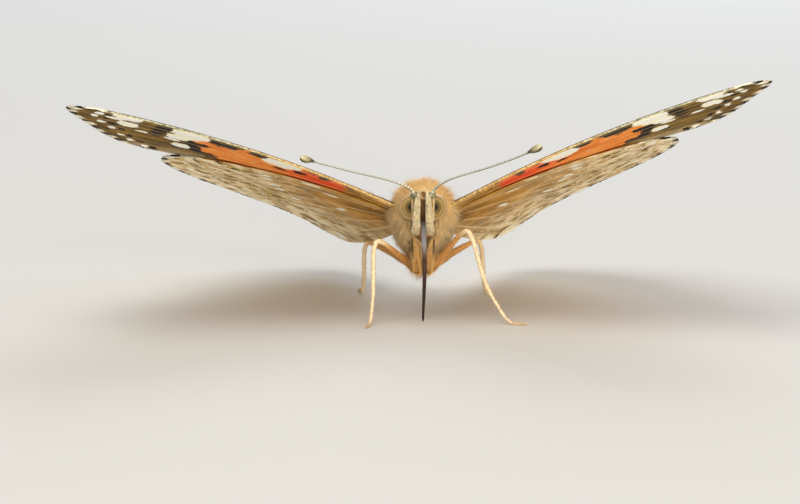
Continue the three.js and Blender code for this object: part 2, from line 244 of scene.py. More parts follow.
# %% Tuft helpers
TUFT_PATCH = 0.003 * np.array([[0, 0], [0.5, 1], [1, 0], [0.15, 0.4], [0.5, 1], [0.85, 0.4], [0.5, 0.8]])
TUFT_WALLS = np.array([[0, 1, 4, 3], [1, 2, 5, 4], [2, 0, 3, 5]])
TUFT_ENDS = np.array([[3, 4, 6], [4, 5, 6], [5, 3, 6], [0, 2, 1]])
TUFT_POINTS = len(TUFT_PATCH)


def scatter(grid, count, seed, density=None):
    """Random places on a tube's surface, as many in each cell as its area times its density asks for.
    Returns place, normal, the direction along the tube, the map place and the cell."""
    rng = np.random.default_rng(seed)
    spread = tube_map(*grid.shape[:2])
    a, b, c, d = grid[:-1, :-1], grid[:-1, 1:], grid[1:, 1:], grid[1:, :-1]
    normal = np.cross(c - a, b - d)
    weight = np.linalg.norm(normal, axis=-1)
    if density is not None:
        weight = weight * density[:-1, :-1]
    share = np.cumsum(weight.ravel())
    cell = np.searchsorted(share / share[-1], rng.random(count))
    r, k = np.unravel_index(np.minimum(cell, weight.size - 1), weight.shape)
    x, y = rng.random(count)[:, None], rng.random(count)[:, None]
    place = (a[r, k] * (1 - x) + b[r, k] * x) * (1 - y) + (d[r, k] * (1 - x) + c[r, k] * x) * y
    along = unit((d - a)[r, k])
    near = spread[r, k] * (1 - x) + spread[r, k + 1] * x
    far = spread[r + 1, k] * (1 - x) + spread[r + 1, k + 1] * x
    return place, unit(normal[r, k]), along, near * (1 - y) + far * y, (r, k)


def outward(normals, places, hearts):
    """The normals, turned round where they point to the heart of the limb."""
    return normals * np.sign(np.einsum("ij,ij->i", normals, places - hearts))[:, None]


def tufts(name, roots, headings, lengths, widths, look, places, fields, bend=None, flat=0.55, seed=1):
    """Spikes with a three-cornered foot, a middle and a tip. The heart of a spike at share w of its length
    is root + heading * length * w + bend * length * w squared."""
    rng = np.random.default_rng(seed)
    count = len(roots)
    lengths = np.broadcast_to(lengths, count)[:, None, None]
    widths = np.broadcast_to(widths, count)[:, None, None, None]
    bend = np.zeros((count, 3)) if bend is None else np.broadcast_to(bend, (count, 3))
    helper = unit(rng.normal(size=(count, 3)))
    wide = unit(np.cross(headings, helper))
    deep = unit(np.cross(headings, wide))
    share = np.array([0.0, 0.5, 1.0])[None, :, None]
    heart = roots[:, None] + headings[:, None] * lengths * share + bend[:, None] * lengths * share**2
    turn = np.array([0, 2, 4]) * np.pi / 3
    ring = wide[:, None] * np.cos(turn)[None, :, None] + flat * deep[:, None] * np.sin(turn)[None, :, None]
    grid = heart[:, :2, None] + ring[:, None] * widths * 0.9
    points = np.concatenate([grid.reshape(count, 6, 3), heart[:, 2:]], 1)
    first = (np.arange(count) * TUFT_POINTS)[:, None, None]
    faces = [(first + TUFT_WALLS).reshape(-1, 4), (first + TUFT_ENDS).reshape(-1, 3)]
    spread = {"tip": np.tile([0.0] * 3 + [0.5] * 3 + [1.0], count)}
    for field, values in {"chance": rng.random(count), **fields}.items():
        spread[field] = np.repeat(np.broadcast_to(values, count), TUFT_POINTS)
    return new_piece(name, points, faces, look, (), spread, {"OFBake": places[:, None] + TUFT_PATCH})


# %% [markdown]
# ## Looks
# Colours are written as they look on a screen and turned into light once. Three effects are used by many
# finishes, so each is a node group: a ragged edge for wing markings, the shading of a hair from root to tip,
# and fine relief of scales.


# %% Colour and node helpers
def paint(code):
    """A colour from its screen code, as amounts of light."""
    parts = np.array([int(code[k : k + 2], 16) for k in (1, 3, 5)]) / 255
    light = np.where(parts <= 0.04045, parts / 12.92, ((parts + 0.055) / 1.055) ** 2.4)
    return (*light.tolist(), 1.0)


class Nodes:
    """A node tree with short ways to add a node, give it values and join it to others."""

    def __init__(self, tree):
        self.tree = tree
        tree.nodes.clear()

    def add(self, kind, values=None, **settings):
        made = self.tree.nodes.new(kind)
        for key, value in settings.items():
            setattr(made, key, value)
        for socket, value in (values or {}).items():
            self.join(value, made.inputs[socket])
        return made

    def join(self, value, socket):
        if isinstance(value, bpy.types.NodeSocket):
            self.tree.links.new(value, socket)
        else:
            socket.default_value = value

    def math(self, operation, a, b=0.0, c=0.0):
        return self.add("ShaderNodeMath", {0: a, 1: b, 2: c}, operation=operation).outputs[0]

    def mix(self, share, a, b, blend="MIX"):
        made = self.add("ShaderNodeMix", {0: share, 6: a, 7: b}, data_type="RGBA", blend_type=blend)
        return made.outputs[2]

    def field(self, name):
        return self.add("ShaderNodeAttribute", attribute_name=name).outputs["Fac"]

    def noise(self, scale, detail):
        place = self.add("ShaderNodeTexCoord").outputs["Object"]
        return self.add("ShaderNodeTexNoise", {"Vector": place, "Scale": scale, "Detail": detail}).outputs[0]

    def mesh_lines(self, scale):
        place = self.add("ShaderNodeTexCoord").outputs["Object"]
        values = {"Vector": place, "Scale": scale}
        return self.add("ShaderNodeTexVoronoi", values, feature="DISTANCE_TO_EDGE").outputs[0]

    def times(self, color, bright):
        grey = self.add("ShaderNodeCombineColor", {0: bright, 1: bright, 2: bright}).outputs[0]
        return self.mix(1.0, color, grey, "MULTIPLY")

    def between(self, value, low, high, to_low=0.0, to_high=1.0):
        ends = {0: value, 1: low, 2: high, 3: to_low, 4: to_high}
        return self.add("ShaderNodeMapRange", ends, interpolation_type="SMOOTHSTEP").outputs[0]

    def ramp(self, value, stops):
        made = self.add("ShaderNodeValToRGB", {0: value})
        ends = made.color_ramp.elements
        while len(ends) < len(stops):
            ends.new(0.5)
        for end, (at, color) in zip(ends, stops):
            end.position = at
            end.color = paint(color)
        return made.outputs[0]


def new_group(name, inputs, outputs):
    """A shader node group with named sockets. Returns its nodes helper, its entry and its exit."""
    tree = bpy.data.node_groups.new(name, "ShaderNodeTree")
    for title, kind, value in inputs:
        socket = tree.interface.new_socket(name=title, in_out="INPUT", socket_type=kind)
        if value is not None:
            socket.default_value = value
    for title, kind in outputs:
        tree.interface.new_socket(name=title, in_out="OUTPUT", socket_type=kind)
    nodes = Nodes(tree)
    print("group", name)
    return nodes, nodes.add("NodeGroupInput"), nodes.add("NodeGroupOutput")


class Look(Nodes):
    """The nodes of a new material that has one Principled shader. shine is how much of the light it mirrors,
    and 0.5 is usual."""

    def __init__(self, name, roughness, shine=0.5, **settings):
        self.material = bpy.data.materials.new(name)
        self.material.use_nodes = True
        super().__init__(self.material.node_tree)
        values = {"Roughness": roughness, "Specular IOR Level": shine, **settings}
        self.shader = self.add("ShaderNodeBsdfPrincipled", values)
        out = self.add("ShaderNodeOutputMaterial")
        self.join(self.shader.outputs[0], out.inputs[0])
        print("look", name)

    def color(self, value):
        self.join(value, self.shader.inputs["Base Color"])

    def relief(self, height, strength, distance):
        bump = self.add("ShaderNodeBump", {"Height": height, "Strength": strength, "Distance": distance})
        self.join(bump.outputs[0], self.shader.inputs["Normal"])


# %% Ragged edge of a marking
nodes, entry, leave = new_group(
    "Ragged edge",
    [
        ("Distance", "NodeSocketFloat", 0.0),
        ("Raggedness", "NodeSocketFloat", 0.3),
        ("Softness", "NodeSocketFloat", 0.05),
    ],
    [("Mask", "NodeSocketFloat")],
)
coarse = nodes.math("MULTIPLY", nodes.noise(1300.0, 2.0), 0.55)
fine = nodes.math("MULTIPLY", nodes.noise(6500.0, 1.0), 0.45)
stir = nodes.math("ADD", coarse, fine)
stir = nodes.math("MULTIPLY", nodes.math("SUBTRACT", stir, 0.5), entry.outputs["Raggedness"])
moved = nodes.math("ADD", entry.outputs["Distance"], nodes.math("MULTIPLY", stir, 4.0))
low = nodes.math("MULTIPLY", entry.outputs["Softness"], -1.0)
nodes.join(nodes.between(moved, low, entry.outputs["Softness"]), leave.inputs["Mask"])
RAGGED_EDGE = nodes.tree

# %% Fine relief of scales, in rows across the ray of the wing
nodes, entry, leave = new_group(
    "Scale rows",
    [("Size", "NodeSocketFloat", 1.0)],
    [("Shade", "NodeSocketFloat"), ("Height", "NodeSocketFloat")],
)
rows = nodes.add("ShaderNodeUVMap", uv_map="rays").outputs[0]
rows = nodes.add("ShaderNodeMapping", {"Vector": rows, "Scale": (7.0, 13.0, 1.0)}).outputs[0]
size = entry.outputs["Size"]
cells = nodes.add("ShaderNodeTexVoronoi", {"Vector": rows, "Scale": size}, voronoi_dimensions="2D")
shade = nodes.add("ShaderNodeSeparateColor", {0: cells.outputs["Color"]}).outputs[0]
nodes.join(shade, leave.inputs["Shade"])
nodes.join(nodes.math("SUBTRACT", 1.0, cells.outputs["Distance"]), leave.inputs["Height"])
SCALE_ROWS = nodes.tree

# %% Shade of a hair, darker and greyer at its root
nodes, entry, leave = new_group(
    "Hair shade",
    [
        ("Root", "NodeSocketColor", paint("#6a4a2a")),
        ("Middle", "NodeSocketColor", paint("#c79a63")),
        ("Tip", "NodeSocketColor", paint("#e8cfa0")),
        ("Spread", "NodeSocketFloat", 0.35),
    ],
    [("Color", "NodeSocketColor")],
)
tip = nodes.field("tip")
lower = nodes.mix(nodes.between(tip, 0.0, 0.45), entry.outputs["Root"], entry.outputs["Middle"])
whole = nodes.mix(nodes.between(tip, 0.4, 1.0), lower, entry.outputs["Tip"])
chance = nodes.math("MULTIPLY", nodes.math("SUBTRACT", nodes.field("chance"), 0.5), entry.outputs["Spread"])
bright = nodes.math("ADD", 1.0, nodes.math("MULTIPLY", chance, 2.0))
nodes.join(nodes.times(whole, bright), leave.inputs["Color"])
HAIR_SHADE = nodes.tree


def group(nodes, tree, values=None):
    """Places a node group in a material."""
    made = nodes.add("ShaderNodeGroup", node_tree=tree)
    for socket, value in (values or {}).items():
        nodes.join(value, made.inputs[socket])
    return made


def hair_color(nodes, root, middle, tip, spread):
    """The hair group's colour, from the colours at its root, middle and tip."""
    values = {"Root": paint(root), "Middle": paint(middle), "Tip": paint(tip), "Spread": spread}
    return group(nodes, HAIR_SHADE, values).outputs[0]


# %% [markdown]
# ## Wings: the shared sheet
# The forewing and hindwing of a side lie on one bowed sheet. Each is a fan of rays from the root to the outer
# margin, so that a point is named by its share of the way out and by the place on the margin that its ray
# ends at. Veins and markings are given in the same two numbers, which keeps them together.

# %% Wing sizes
WING_ROOT = np.array([1.9, 3.0, 8.4])
WING_RISE = {"left": np.radians(18.9), "right": np.radians(14.2)}
WING_PITCH = np.radians(15.5)
FORE_SWEEP = np.radians(26.0)
FORE_LENGTH = 27.2
HIND_SCALE = 0.95
HIND_BACK = 2.4
SHEET_ARCH = 0.56
FOLD, FOLD_WIDTH, FOLD_LENGTH = 1.5, 6.0, 18.0
WING_SPLIT = 0.1
WING_HALF = 0.045
RAY_LENGTH = 22.0
FORE = {
    "margin": np.array([[0.939, 0.007], [0.989, 0.046], [1.0, 0.107], [0.964, 0.179], [0.9, 0.261],
                        [0.832, 0.35], [0.764, 0.436], [0.689, 0.5], [0.607, 0.507]]) * FORE_LENGTH,
    "inside": 0.5, "wide": 1.7, "bow": (-2.0, 0.4), "turn": FORE_SWEEP, "back": 0.0, "lift": WING_SPLIT,
    "veins": [(0.0, 0.0), (0.25, 0.0), (1.0, 0.0), (2.1, 0.0), (3.0, 0.5), (4.0, 0.5), (4.9, 0.0),
              (5.8, 0.36), (6.7, 0.24), (7.55, 0.0)],
    "cell": (0.5, 2.1, 4.9), "scallop": 0.16,
}
HIND = {
    "margin": np.array([[17.2, 0.6], [19.6, 2.6], [20.6, 5.6], [20.6, 8.8], [19.4, 12.2], [17.0, 15.4],
                        [13.8, 18.2], [10.2, 20.4], [7.0, 21.2], [4.6, 19.8]]) * HIND_SCALE,
    "inside": 0.9, "wide": 2.2, "bow": (-2.3, 0.85), "turn": 0.0, "back": HIND_BACK, "lift": -WING_SPLIT,
    "veins": [(0.9, 0.0), (2.0, 0.0), (3.0, 0.42), (3.9, 0.42), (4.8, 0.0), (5.8, 0.34), (6.8, 0.2),
              (7.8, 0.0)],
    "cell": (0.42, 2.0, 4.8), "scallop": 0.34,
}


# %% Wing formulas
def margin_point(wing, share):
    """A Catmull-Rom curve through the margin's points, evenly shared between them."""
    p = wing["margin"]
    last = len(p) - 1
    at = np.clip(share, 0, 1) * last
    k = np.minimum(at.astype(int), last - 1)
    w = (at - k)[..., None]
    p0, p1, p2, p3 = p[np.maximum(k - 1, 0)], p[k], p[k + 1], p[np.minimum(k + 2, last)]
    leave, reach = (p2 - p0) / 2, (p3 - p1) / 2
    square = (3 * (p2 - p1) - 2 * leave - reach) * w**2
    return p1 + leave * w + square + (2 * (p1 - p2) + leave + reach) * w**3


def wing_plan(wing, s, t):
    """The ray from the root to the margin at share t, bowed sideways by a parabola, at share s of its
    length, before the wing is turned forward."""
    root = np.stack([np.full_like(t, -wing["inside"]), wing["wide"] * t], -1)
    ray = margin_point(wing, t) - root
    bow = ((1 - t) * wing["bow"][0] + t * wing["bow"][1]) * 4 * s * (1 - s)
    square = unit(np.stack([-ray[..., 1], ray[..., 0]], -1))
    return root + ray * s[..., None] + square * bow[..., None]


def sheet_height(u, v):
    """An arch between root and tip, less the fold where the hindwing hangs beside the abdomen."""
    reach = np.clip(u / FORE_LENGTH, 0, 1.05)
    fold = FOLD * np.exp(-((u / FOLD_WIDTH) ** 2)) * np.clip(v / FOLD_LENGTH, 0, 1.3) ** 2
    return SHEET_ARCH * 4 * reach * (1 - reach) - fold


def place_wing(wing, side, plan, off):
    """Turns the plan forward, lifts it onto the sheet and off it by off, and sets the sheet at its rise and
    pitch on that side of the body."""
    c, k = np.cos(wing["turn"]), np.sin(wing["turn"])
    u = plan[..., 0] * c + plan[..., 1] * k
    v = -plan[..., 0] * k + plan[..., 1] * c + wing["back"]
    h = sheet_height(u, v) + off
    rise = WING_RISE[side]
    out = u * np.cos(rise) - h * np.sin(rise)
    up = u * np.sin(rise) + h * np.cos(rise)
    return np.stack([
        SIDES[side] * (WING_ROOT[0] + out),
        WING_ROOT[1] + v * np.cos(WING_PITCH) + up * np.sin(WING_PITCH),
        WING_ROOT[2] - v * np.sin(WING_PITCH) + up * np.cos(WING_PITCH),
    ], -1)


def vein_ends(wing):
    """The margin places where veins end, without those that run along the front edge."""
    return np.array([end for end, _ in wing["veins"] if end > 0.5])


def cells_of(wing, e):
    """For a place e on the margin, its share of the way across the cell between two vein ends."""
    ends = np.concatenate([[0.0], vein_ends(wing), [len(wing["margin"]) - 1.0]])
    k = np.clip(np.searchsorted(ends, e, side="right") - 1, 0, len(ends) - 2)
    return (e - ends[k]) / (ends[k + 1] - ends[k])


def vein_height(wing, s, e, plan):
    """1 on the crest of a vein and 0 beyond its foot. A vein is a bell in the distance across the rays, in
    millimetres, and the end of the cell is a short bell along them."""
    step = np.linalg.norm(np.gradient(plan, axis=1), axis=-1) / np.maximum(np.gradient(e, axis=1), 1e-6)
    crest = np.zeros_like(s)
    for end, leaves in wing["veins"]:
        away = np.abs(e - end) * step
        wide = 0.13 - 0.05 * s
        crest = np.maximum(crest, np.exp(-((away / wide) ** 2)) * ease(s, leaves - 0.02, leaves + 0.01))
    ends, low, high = wing["cell"]
    bulge = ends + 0.03 * np.sin((e - low) / (high - low) * 2 * np.pi)
    inside = ease(e, low - 0.05, low + 0.05) * (1 - ease(e, high - 0.05, high + 0.05))
    return np.maximum(crest, 0.9 * np.exp(-(((s - bulge) * RAY_LENGTH / 0.12) ** 2)) * inside)


# %% [markdown]
# ## Wings: the markings
# The pattern is a painted lady's: on the underside a red and orange field on the forewing with black bars and
# cream spots, and a marbled hindwing with a row of eyespots; on the upper side orange, black and white.
# They could be painted on a picture, but a picture blurs near by. So each mark is an oval with its own
# middle, size and tilt. The field that a material reads is the depth inside the nearest edge, so that the
# shader can cut a crisp and slightly ragged border at any zoom.


# %% Markings as distances
def ovals(wing, plan, marks):
    """The greatest depth inside any of the ovals. A mark is its share s out, its margin place e, its half
    length along the ray, its half width across, both in millimetres, and a tilt in degrees."""
    best = np.full(plan.shape[:-1], NO_MARK)
    spans = len(wing["margin"]) - 1
    for s0, e0, long, wide, *tilt in marks:
        at = wing_plan(wing, np.array([s0, s0 + 0.01]), np.array([e0, e0]) / spans)
        ray = unit(at[1] - at[0])
        if tilt:
            c, k = np.cos(np.radians(tilt[0])), np.sin(np.radians(tilt[0]))
            ray = np.array([ray[0] * c - ray[1] * k, ray[0] * k + ray[1] * c])
        d = plan - at[0]
        a = (d @ ray) / long
        b = (d @ np.array([-ray[1], ray[0]])) / wide
        best = np.maximum(best, (1 - (np.abs(a) ** 2.4 + np.abs(b) ** 2.4) ** (1 / 2.4)) * min(long, wide))
    return best


NO_MARK = -9.0
BARE_SIDE = {  # what a field is all over a wing's side that has none of it
    "warm": NO_MARK, "dark": NO_MARK, "pale": NO_MARK, "marble": 0.0, "eyespot": -NO_MARK, "outer": 0.0,
    "rosy": 0.0, "grey": 0.0,
}
FORE_MIDDLES = (0.55, 1.55, 2.55, 3.5, 4.45, 5.35, 6.25, 7.15)
HIND_MIDDLES = (0.45, 1.45, 2.5, 3.45, 4.35, 5.3, 6.3, 7.3, 8.3)
UNDER_FORE = {
    "warm_low": 0.185,
    "dark": [(0.13, 0.6, 0.5, 0.3), (0.17, 1.3, 0.4, 0.28), (0.205, 0.5, 0.5, 0.4), (0.16, 2.3, 0.3, 0.3),
             (0.26, 1.8, 0.45, 0.9, 10), (0.285, 0.5, 0.7, 0.4), (0.325, 3.0, 0.5, 0.9, 20),
             (0.34, 0.5, 0.5, 0.4), (0.39, 4.0, 0.5, 0.7, 30), (0.47, 0.7, 1.35, 1.35, 8),
             (0.585, 1.0, 1.2, 2.4, 10), (0.64, 3.7, 0.8, 1.1), (0.64, 5.6, 0.7, 0.9), (0.745, 1.2, 0.8, 2.0),
             (0.75, 3.0, 0.6, 1.0), (0.78, 4.2, 0.5, 0.8), (0.74, 5.4, 0.5, 0.8)],
    "pale": [(0.395, 1.5, 1.5, 2.1, 6), (0.67, 1.5, 1.45, 2.5, 8), (0.695, 3.1, 0.9, 1.0),
             (0.87, 0.8, 1.0, 1.2), (0.87, 2.1, 0.8, 1.0), (0.84, 3.0, 0.8, 0.9), (0.815, 3.8, 0.5, 0.6),
             (0.73, 4.1, 0.6, 0.9), (0.72, 5.0, 0.7, 0.8)],
    "warm_to": (0.54, 0.66),
}
UPPER_FORE = {
    "warm_low": 0.1,
    "dark": [(0.24, 2.2, 0.5, 1.0, 15), (0.33, 2.8, 0.6, 1.6, 14), (0.43, 1.3, 0.9, 1.9, 10),
             (0.455, 3.0, 0.8, 1.3, -20), (0.52, 4.2, 1.5, 0.9, 25), (0.45, 5.3, 1.3, 0.7, -25),
             (0.33, 5.7, 0.7, 1.0, 15), (0.70, 5.4, 0.75, 0.8), (0.70, 6.4, 0.75, 0.8), (0.62, 7.2, 0.5, 0.6),
             (0.6, 1.2, 1.4, 2.0), (0.62, 2.9, 1.2, 1.4)],
    "pale": [(0.645, 0.9, 0.75, 0.8), (0.65, 1.7, 0.7, 0.8), (0.655, 2.5, 0.55, 0.5), (0.82, 0.7, 0.5, 0.4),
             (0.82, 1.5, 0.45, 0.45), (0.79, 2.5, 0.5, 0.45), (0.76, 3.5, 0.36, 0.34)],
    "warm_to": (0.66, 0.93),
}


def fore_fields(s, e, plan, marks, upper):
    """Fields of a forewing side: the warm field ends further out behind the cell than at the costa, dark and
    pale marks are ovals, and rows of pale dashes follow the margin."""
    near, far = marks["warm_to"]
    to = near + (far - near) * ease(e, 0.8, 2.8) - 0.08 * ease(e, 5.5, 8)
    warm = np.minimum.reduce([(s - marks["warm_low"]) * 24, (to - s) * 24, (e + 0.02) * 3, (7.3 - e) * 1.2])
    dark = ovals(FORE, plan, marks["dark"])
    pale = ovals(FORE, plan, marks["pale"])
    dashes = [(0.925, e0, 0.28, 0.62) for e0 in FORE_MIDDLES]
    if upper:
        dark = np.maximum(dark, (s - 0.66 - 0.2 * ease(e, 2.0, 5.5)) * 20)
        dark = np.maximum(dark, 0.42 - e)
        pale = np.maximum(pale, ovals(FORE, plan, [(s0, e0, 0.14, 0.42) for s0, e0, *_ in dashes]))
    else:
        pale = np.maximum(pale, ovals(FORE, plan, dashes))
        tips = [(0.96, end, 0.7, 0.3) for end in vein_ends(FORE)]
        dark = np.maximum(dark, ovals(FORE, plan, tips + [(0.895, e0, 0.3, 0.7) for e0 in FORE_MIDDLES]))
        border = 0.5 - np.abs((s - to - 0.015) * RAY_LENGTH)
        dark = np.maximum(dark, np.minimum.reduce([border, e - 0.4, 6.4 - e]))
    return {
        "warm": warm, "dark": dark, "pale": pale,
        "outer": 0.3 + 0.6 * ease(s, 0.3, 0.5) if upper else ease(s, 0.5, 0.66),
        "rosy": (1 - ease(s, 0.27, 0.44)) * (0.25 if upper else 1.0),
        "grey": 0.5 * ease(e, 6.8, 7.8) if upper else 0.8 * ease(e, 6.0, 7.6),
    }


def hind_fields(s, e, plan, upper):
    """Fields of a hindwing side: marbled with eyespots below, and above orange with three rows of black
    marks, a black comma at the end of the cell and a brown, hairy inner third."""
    eyes = [(0.70, 1.45, 0.75), (0.72, 2.5, 0.55), (0.73, 3.45, 0.5), (0.72, 4.35, 0.6), (0.70, 5.4, 0.85)]
    if upper:
        rows = [(s0, e0, 0.42, 0.42) for s0, e0, _ in eyes]
        rows += [(0.83, e0, 0.3, 0.7) for e0 in HIND_MIDDLES]
        rows += [(0.935, e0, 0.34, 0.62) for e0 in HIND_MIDDLES]
        dark = ovals(HIND, plan, rows + [(0.40, 1.4, 1.1, 0.9), (0.47, 2.5, 0.5, 1.2)])
        dark = np.maximum(dark, (s - 0.978) * 20)
        inner = (s - 0.2 - 0.2 * ease(e, 4.5, 7.5)) * 18
        warm = np.minimum.reduce([inner, (0.99 - s) * 18, (7.6 - e) * 1.2, e - 0.3])
        return {"warm": warm, "dark": dark, "outer": 0.45, "rosy": 0.12, "grey": 0.9 * ease(e, 6.6, 8.2)}
    spot = 0 * s - NO_MARK
    for s0, e0, size in eyes:
        at = wing_plan(HIND, np.array([s0]), np.array([e0]) / (len(HIND["margin"]) - 1))[0]
        spot = np.minimum(spot, np.linalg.norm(plan - at, axis=-1) / size)
    pale = ovals(HIND, plan, [(0.56 + 0.02 * np.sin(5 * e0), e0, 0.6, 0.36, 25) for e0 in HIND_MIDDLES[1:6]]
                 + [(0.3, 2.4, 0.6, 0.4, -30), (0.36, 5.6, 0.6, 0.3, 20), (0.42, 0.6, 0.7, 0.3, 10)])
    pale = np.maximum(pale, ovals(HIND, plan, [(0.9, e0, 0.16, 0.75) for e0 in HIND_MIDDLES]))
    dark = ovals(HIND, plan, [(0.86, e0, 0.14, 0.75) for e0 in HIND_MIDDLES])
    return {
        "dark": dark, "pale": pale, "marble": 0.06 + 0.79 * ease(s, 0.25, 0.75), "eyespot": spot,
        "grey": 0.15 * ease(s, 0.3, 0.8) + 0.3 * ease(e, 6.3, 8.0),
    }


# %% [markdown]
# ## Wings: the finish
# A wing is dull and powdery, because it is covered in scales. Each scale takes one colour, so the finish is
# mixed in layers with ragged edges, and then every scale is made a little lighter or darker than the next.
# The lower face is painted lighter all over, as painted light for the light that comes through the thin wing.

# %% Wing look
WING_LOOK = nodes = Look("wing scales", 0.8, 0.08)
patchy = nodes.noise(420.0, 4.0)
cloud = nodes.noise(800.0, 2.0)
ground = nodes.ramp(patchy, [(0.3, "#7c5820"), (0.5, "#a8782c"), (0.7, "#c8963e")])
outer = nodes.ramp(patchy, [(0.3, "#40300e"), (0.5, "#684e1a"), (0.7, "#8a6a2a")])
ground = nodes.mix(nodes.field("outer"), ground, outer)
ground = nodes.mix(nodes.field("grey"), ground, nodes.ramp(patchy, [(0.3, "#8f8065"), (0.7, "#c6b894")]))
marble = nodes.ramp(cloud, [(0.33, "#85673a"), (0.45, "#b69a66"), (0.55, "#d4c196"), (0.66, "#ece0c2")])
netting = nodes.between(nodes.mesh_lines(620.0), 0.02, 0.09, 0.45, 0.0)
marble = nodes.mix(netting, marble, paint("#ece4cf"))
color = nodes.mix(nodes.field("marble"), ground, marble)


def edge_of(nodes, field, ragged, soft=0.05):
    """The mask of a marking from its distance field."""
    made = group(nodes, RAGGED_EDGE, {"Distance": nodes.field(field), "Raggedness": ragged, "Softness": soft})
    return made.outputs["Mask"]


orange = nodes.ramp(patchy, [(0.3, "#cf6a1d"), (0.7, "#ec9440")])
red = nodes.ramp(patchy, [(0.3, "#cf3a12"), (0.7, "#ea5a22")])
cream = nodes.ramp(cloud, [(0.35, "#f2e8c8"), (0.65, "#fffaea")])
color = nodes.mix(edge_of(nodes, "warm", 0.5, 0.3), color, nodes.mix(nodes.field("rosy"), orange, red))
color = nodes.mix(edge_of(nodes, "dark", 0.34), color, paint("#23150b"))
color = nodes.mix(edge_of(nodes, "pale", 0.26), color, cream)
spot = nodes.field("eyespot")
rings = nodes.ramp(spot, [(0.0, "#8fb0c8"), (0.22, "#2a2118"), (0.5, "#20180f"), (0.58, "#c9a551"),
                          (0.8, "#d8b968"), (0.9, "#3a2a18"), (1.0, "#6b5632")])
color = nodes.mix(nodes.between(spot, 1.02, 0.98), color, rings)
for strength, code in (("palevein", "#d9c69a"), ("darkvein", "#4a2a12")):
    color = nodes.mix(nodes.math("MULTIPLY", nodes.field("vein"), nodes.field(strength)), color, paint(code))
checks = nodes.ramp(nodes.field("check"), [(0.45, "#2b2016"), (0.55, "#efe6cd")])
color = nodes.mix(nodes.field("fringe"), color, checks)

# %% Single scales, and painted light on the lower face
scales = group(nodes, SCALE_ROWS, {"Size": 1.0})
bright = nodes.math("MULTIPLY_ADD", scales.outputs["Shade"], 0.3, 0.86)
# painted light: the lower face is made lighter, standing in for light that comes through the wing
bright = nodes.math("MULTIPLY_ADD", nodes.field("below"), 0.28, bright)
color = nodes.times(color, bright)
color.node.clamp_result = True
nodes.color(color)
nodes.relief(scales.outputs["Height"], 0.35, 0.00003)
nodes.join(nodes.math("MULTIPLY_ADD", scales.outputs["Shade"], 0.25, 0.6), nodes.shader.inputs["Roughness"])

# %% [markdown]
# ## Wings: the membranes
# A wing is one closed skin: an upper sheet, a lower sheet and a rim. The membrane is bowed a little between
# veins and the veins stand up on both faces. The outer margin is scalloped, and its last tenth of a
# millimetre frays into the fringe, which is made of blades further on.

# %% Membranes
WING_ROWS, WING_COLUMNS = 120, 240


def wing_grid(wing, rows, columns):
    """Shares s and margin places e of a grid, closer together near the margin and at the costa."""
    s = np.linspace(0, 1, rows) ** 0.9
    t = np.linspace(0, 1, columns)
    s, t = np.meshgrid(s, t, indexing="ij")
    return s, t, t * (len(wing["margin"]) - 1)


def scalloped(wing, s, e):
    """The share s drawn in near the margin, halfway between veins, by the depth of the scallop."""
    dip = wing["scallop"] * 4 * cells_of(wing, e) * (1 - cells_of(wing, e)) / RAY_LENGTH
    return s * (1 - dip * s**6)


def vein_end_away(wing, e):
    """How far a margin place is from the nearest vein's end."""
    return np.abs(e[..., None] - vein_ends(wing)).min(-1)


def make_wing(title, wing, side):
    """The upper sheet stands off the middle by half a thickness and a vein's height, and so does the lower
    one. Between veins the middle is pleated up and down in turn."""
    s, t, e = wing_grid(wing, WING_ROWS, WING_COLUMNS)
    plan = wing_plan(wing, scalloped(wing, s, e), t)
    vein = vein_height(wing, s, e, plan)
    share = cells_of(wing, e)
    pleat = 0.06 * np.sin(np.pi * share) ** 2 * ease(s, 0.2, 0.7) * np.where(np.floor(e) % 2 < 1, 1, -1)
    half = WING_HALF * (1 + 1.6 * (1 - ease(s, 0.0, 0.15))) + 0.05 * vein * (1 - 0.5 * s)
    if wing is FORE:
        half = half + 0.05 * np.exp(-((e / 0.12) ** 2)) * (1 - 0.6 * s)
    upper = place_wing(wing, side, plan, wing["lift"] + pleat + half)
    lower = place_wing(wing, side, plan, wing["lift"] + pleat - half)
    rows, columns = s.shape
    under = rows * columns
    number = np.arange(under).reshape(rows, columns)
    rim = np.concatenate([number[0, :-1], number[:-1, -1], number[-1, :0:-1], number[:0:-1, 0]])
    after = np.roll(rim, -1)
    wall = np.stack([after, rim, rim + under, after + under], -1)
    faces = np.concatenate([faces_of_grid(rows, columns), faces_of_grid(rows, columns, under)[:, ::-1], wall])
    if wing is FORE:
        sides = [fore_fields(s, e, plan, UPPER_FORE, True), fore_fields(s, e, plan, UNDER_FORE, False)]
    else:
        sides = [hind_fields(s, e, plan, True), hind_fields(s, e, plan, False)]
    fields = {key: np.concatenate([np.broadcast_to(one.get(key, bare), s.shape).ravel() for one in sides])
              for key, bare in BARE_SIDE.items()}
    below = np.repeat([0.0, 1.0], s.size)
    # below is 1 on the lower face, which the wing look paints lighter as painted light
    fields["below"] = below
    fields["palevein"] = below * (0.35 if wing is FORE else 0.8)
    fields["darkvein"] = 0.5 * (1 - below)
    for field, values in {"vein": vein, "check": ease(vein_end_away(wing, e), 0.2, 0.26),
                          "fringe": ease(s, 0.982, 0.988)}.items():
        fields[field] = np.tile(values.ravel(), 2)
    length = np.linalg.norm(plan - plan[:1], axis=-1)
    rays = np.stack([length, e * 2.6 * s + 0.3 * e], -1).reshape(-1, 2)
    rays = np.concatenate([rays, rays + [50, 0]])
    new_piece(f"{title}_{side}_membrane", np.stack([upper, lower]), [faces], WING_LOOK,
              (f"{title}_{side}",), fields, {"rays": rays})


for side in SIDES:
    make_wing("forewing", FORE, side)
    make_wing("hindwing", HIND, side)

# %% [markdown]
# ## Wings: the leading edge
# The front edge of a forewing is a stiff hollow vein with pale scales along it. It could be a part of the
# membrane, but a thin tube of its own stays round and catches the light as one bright line.

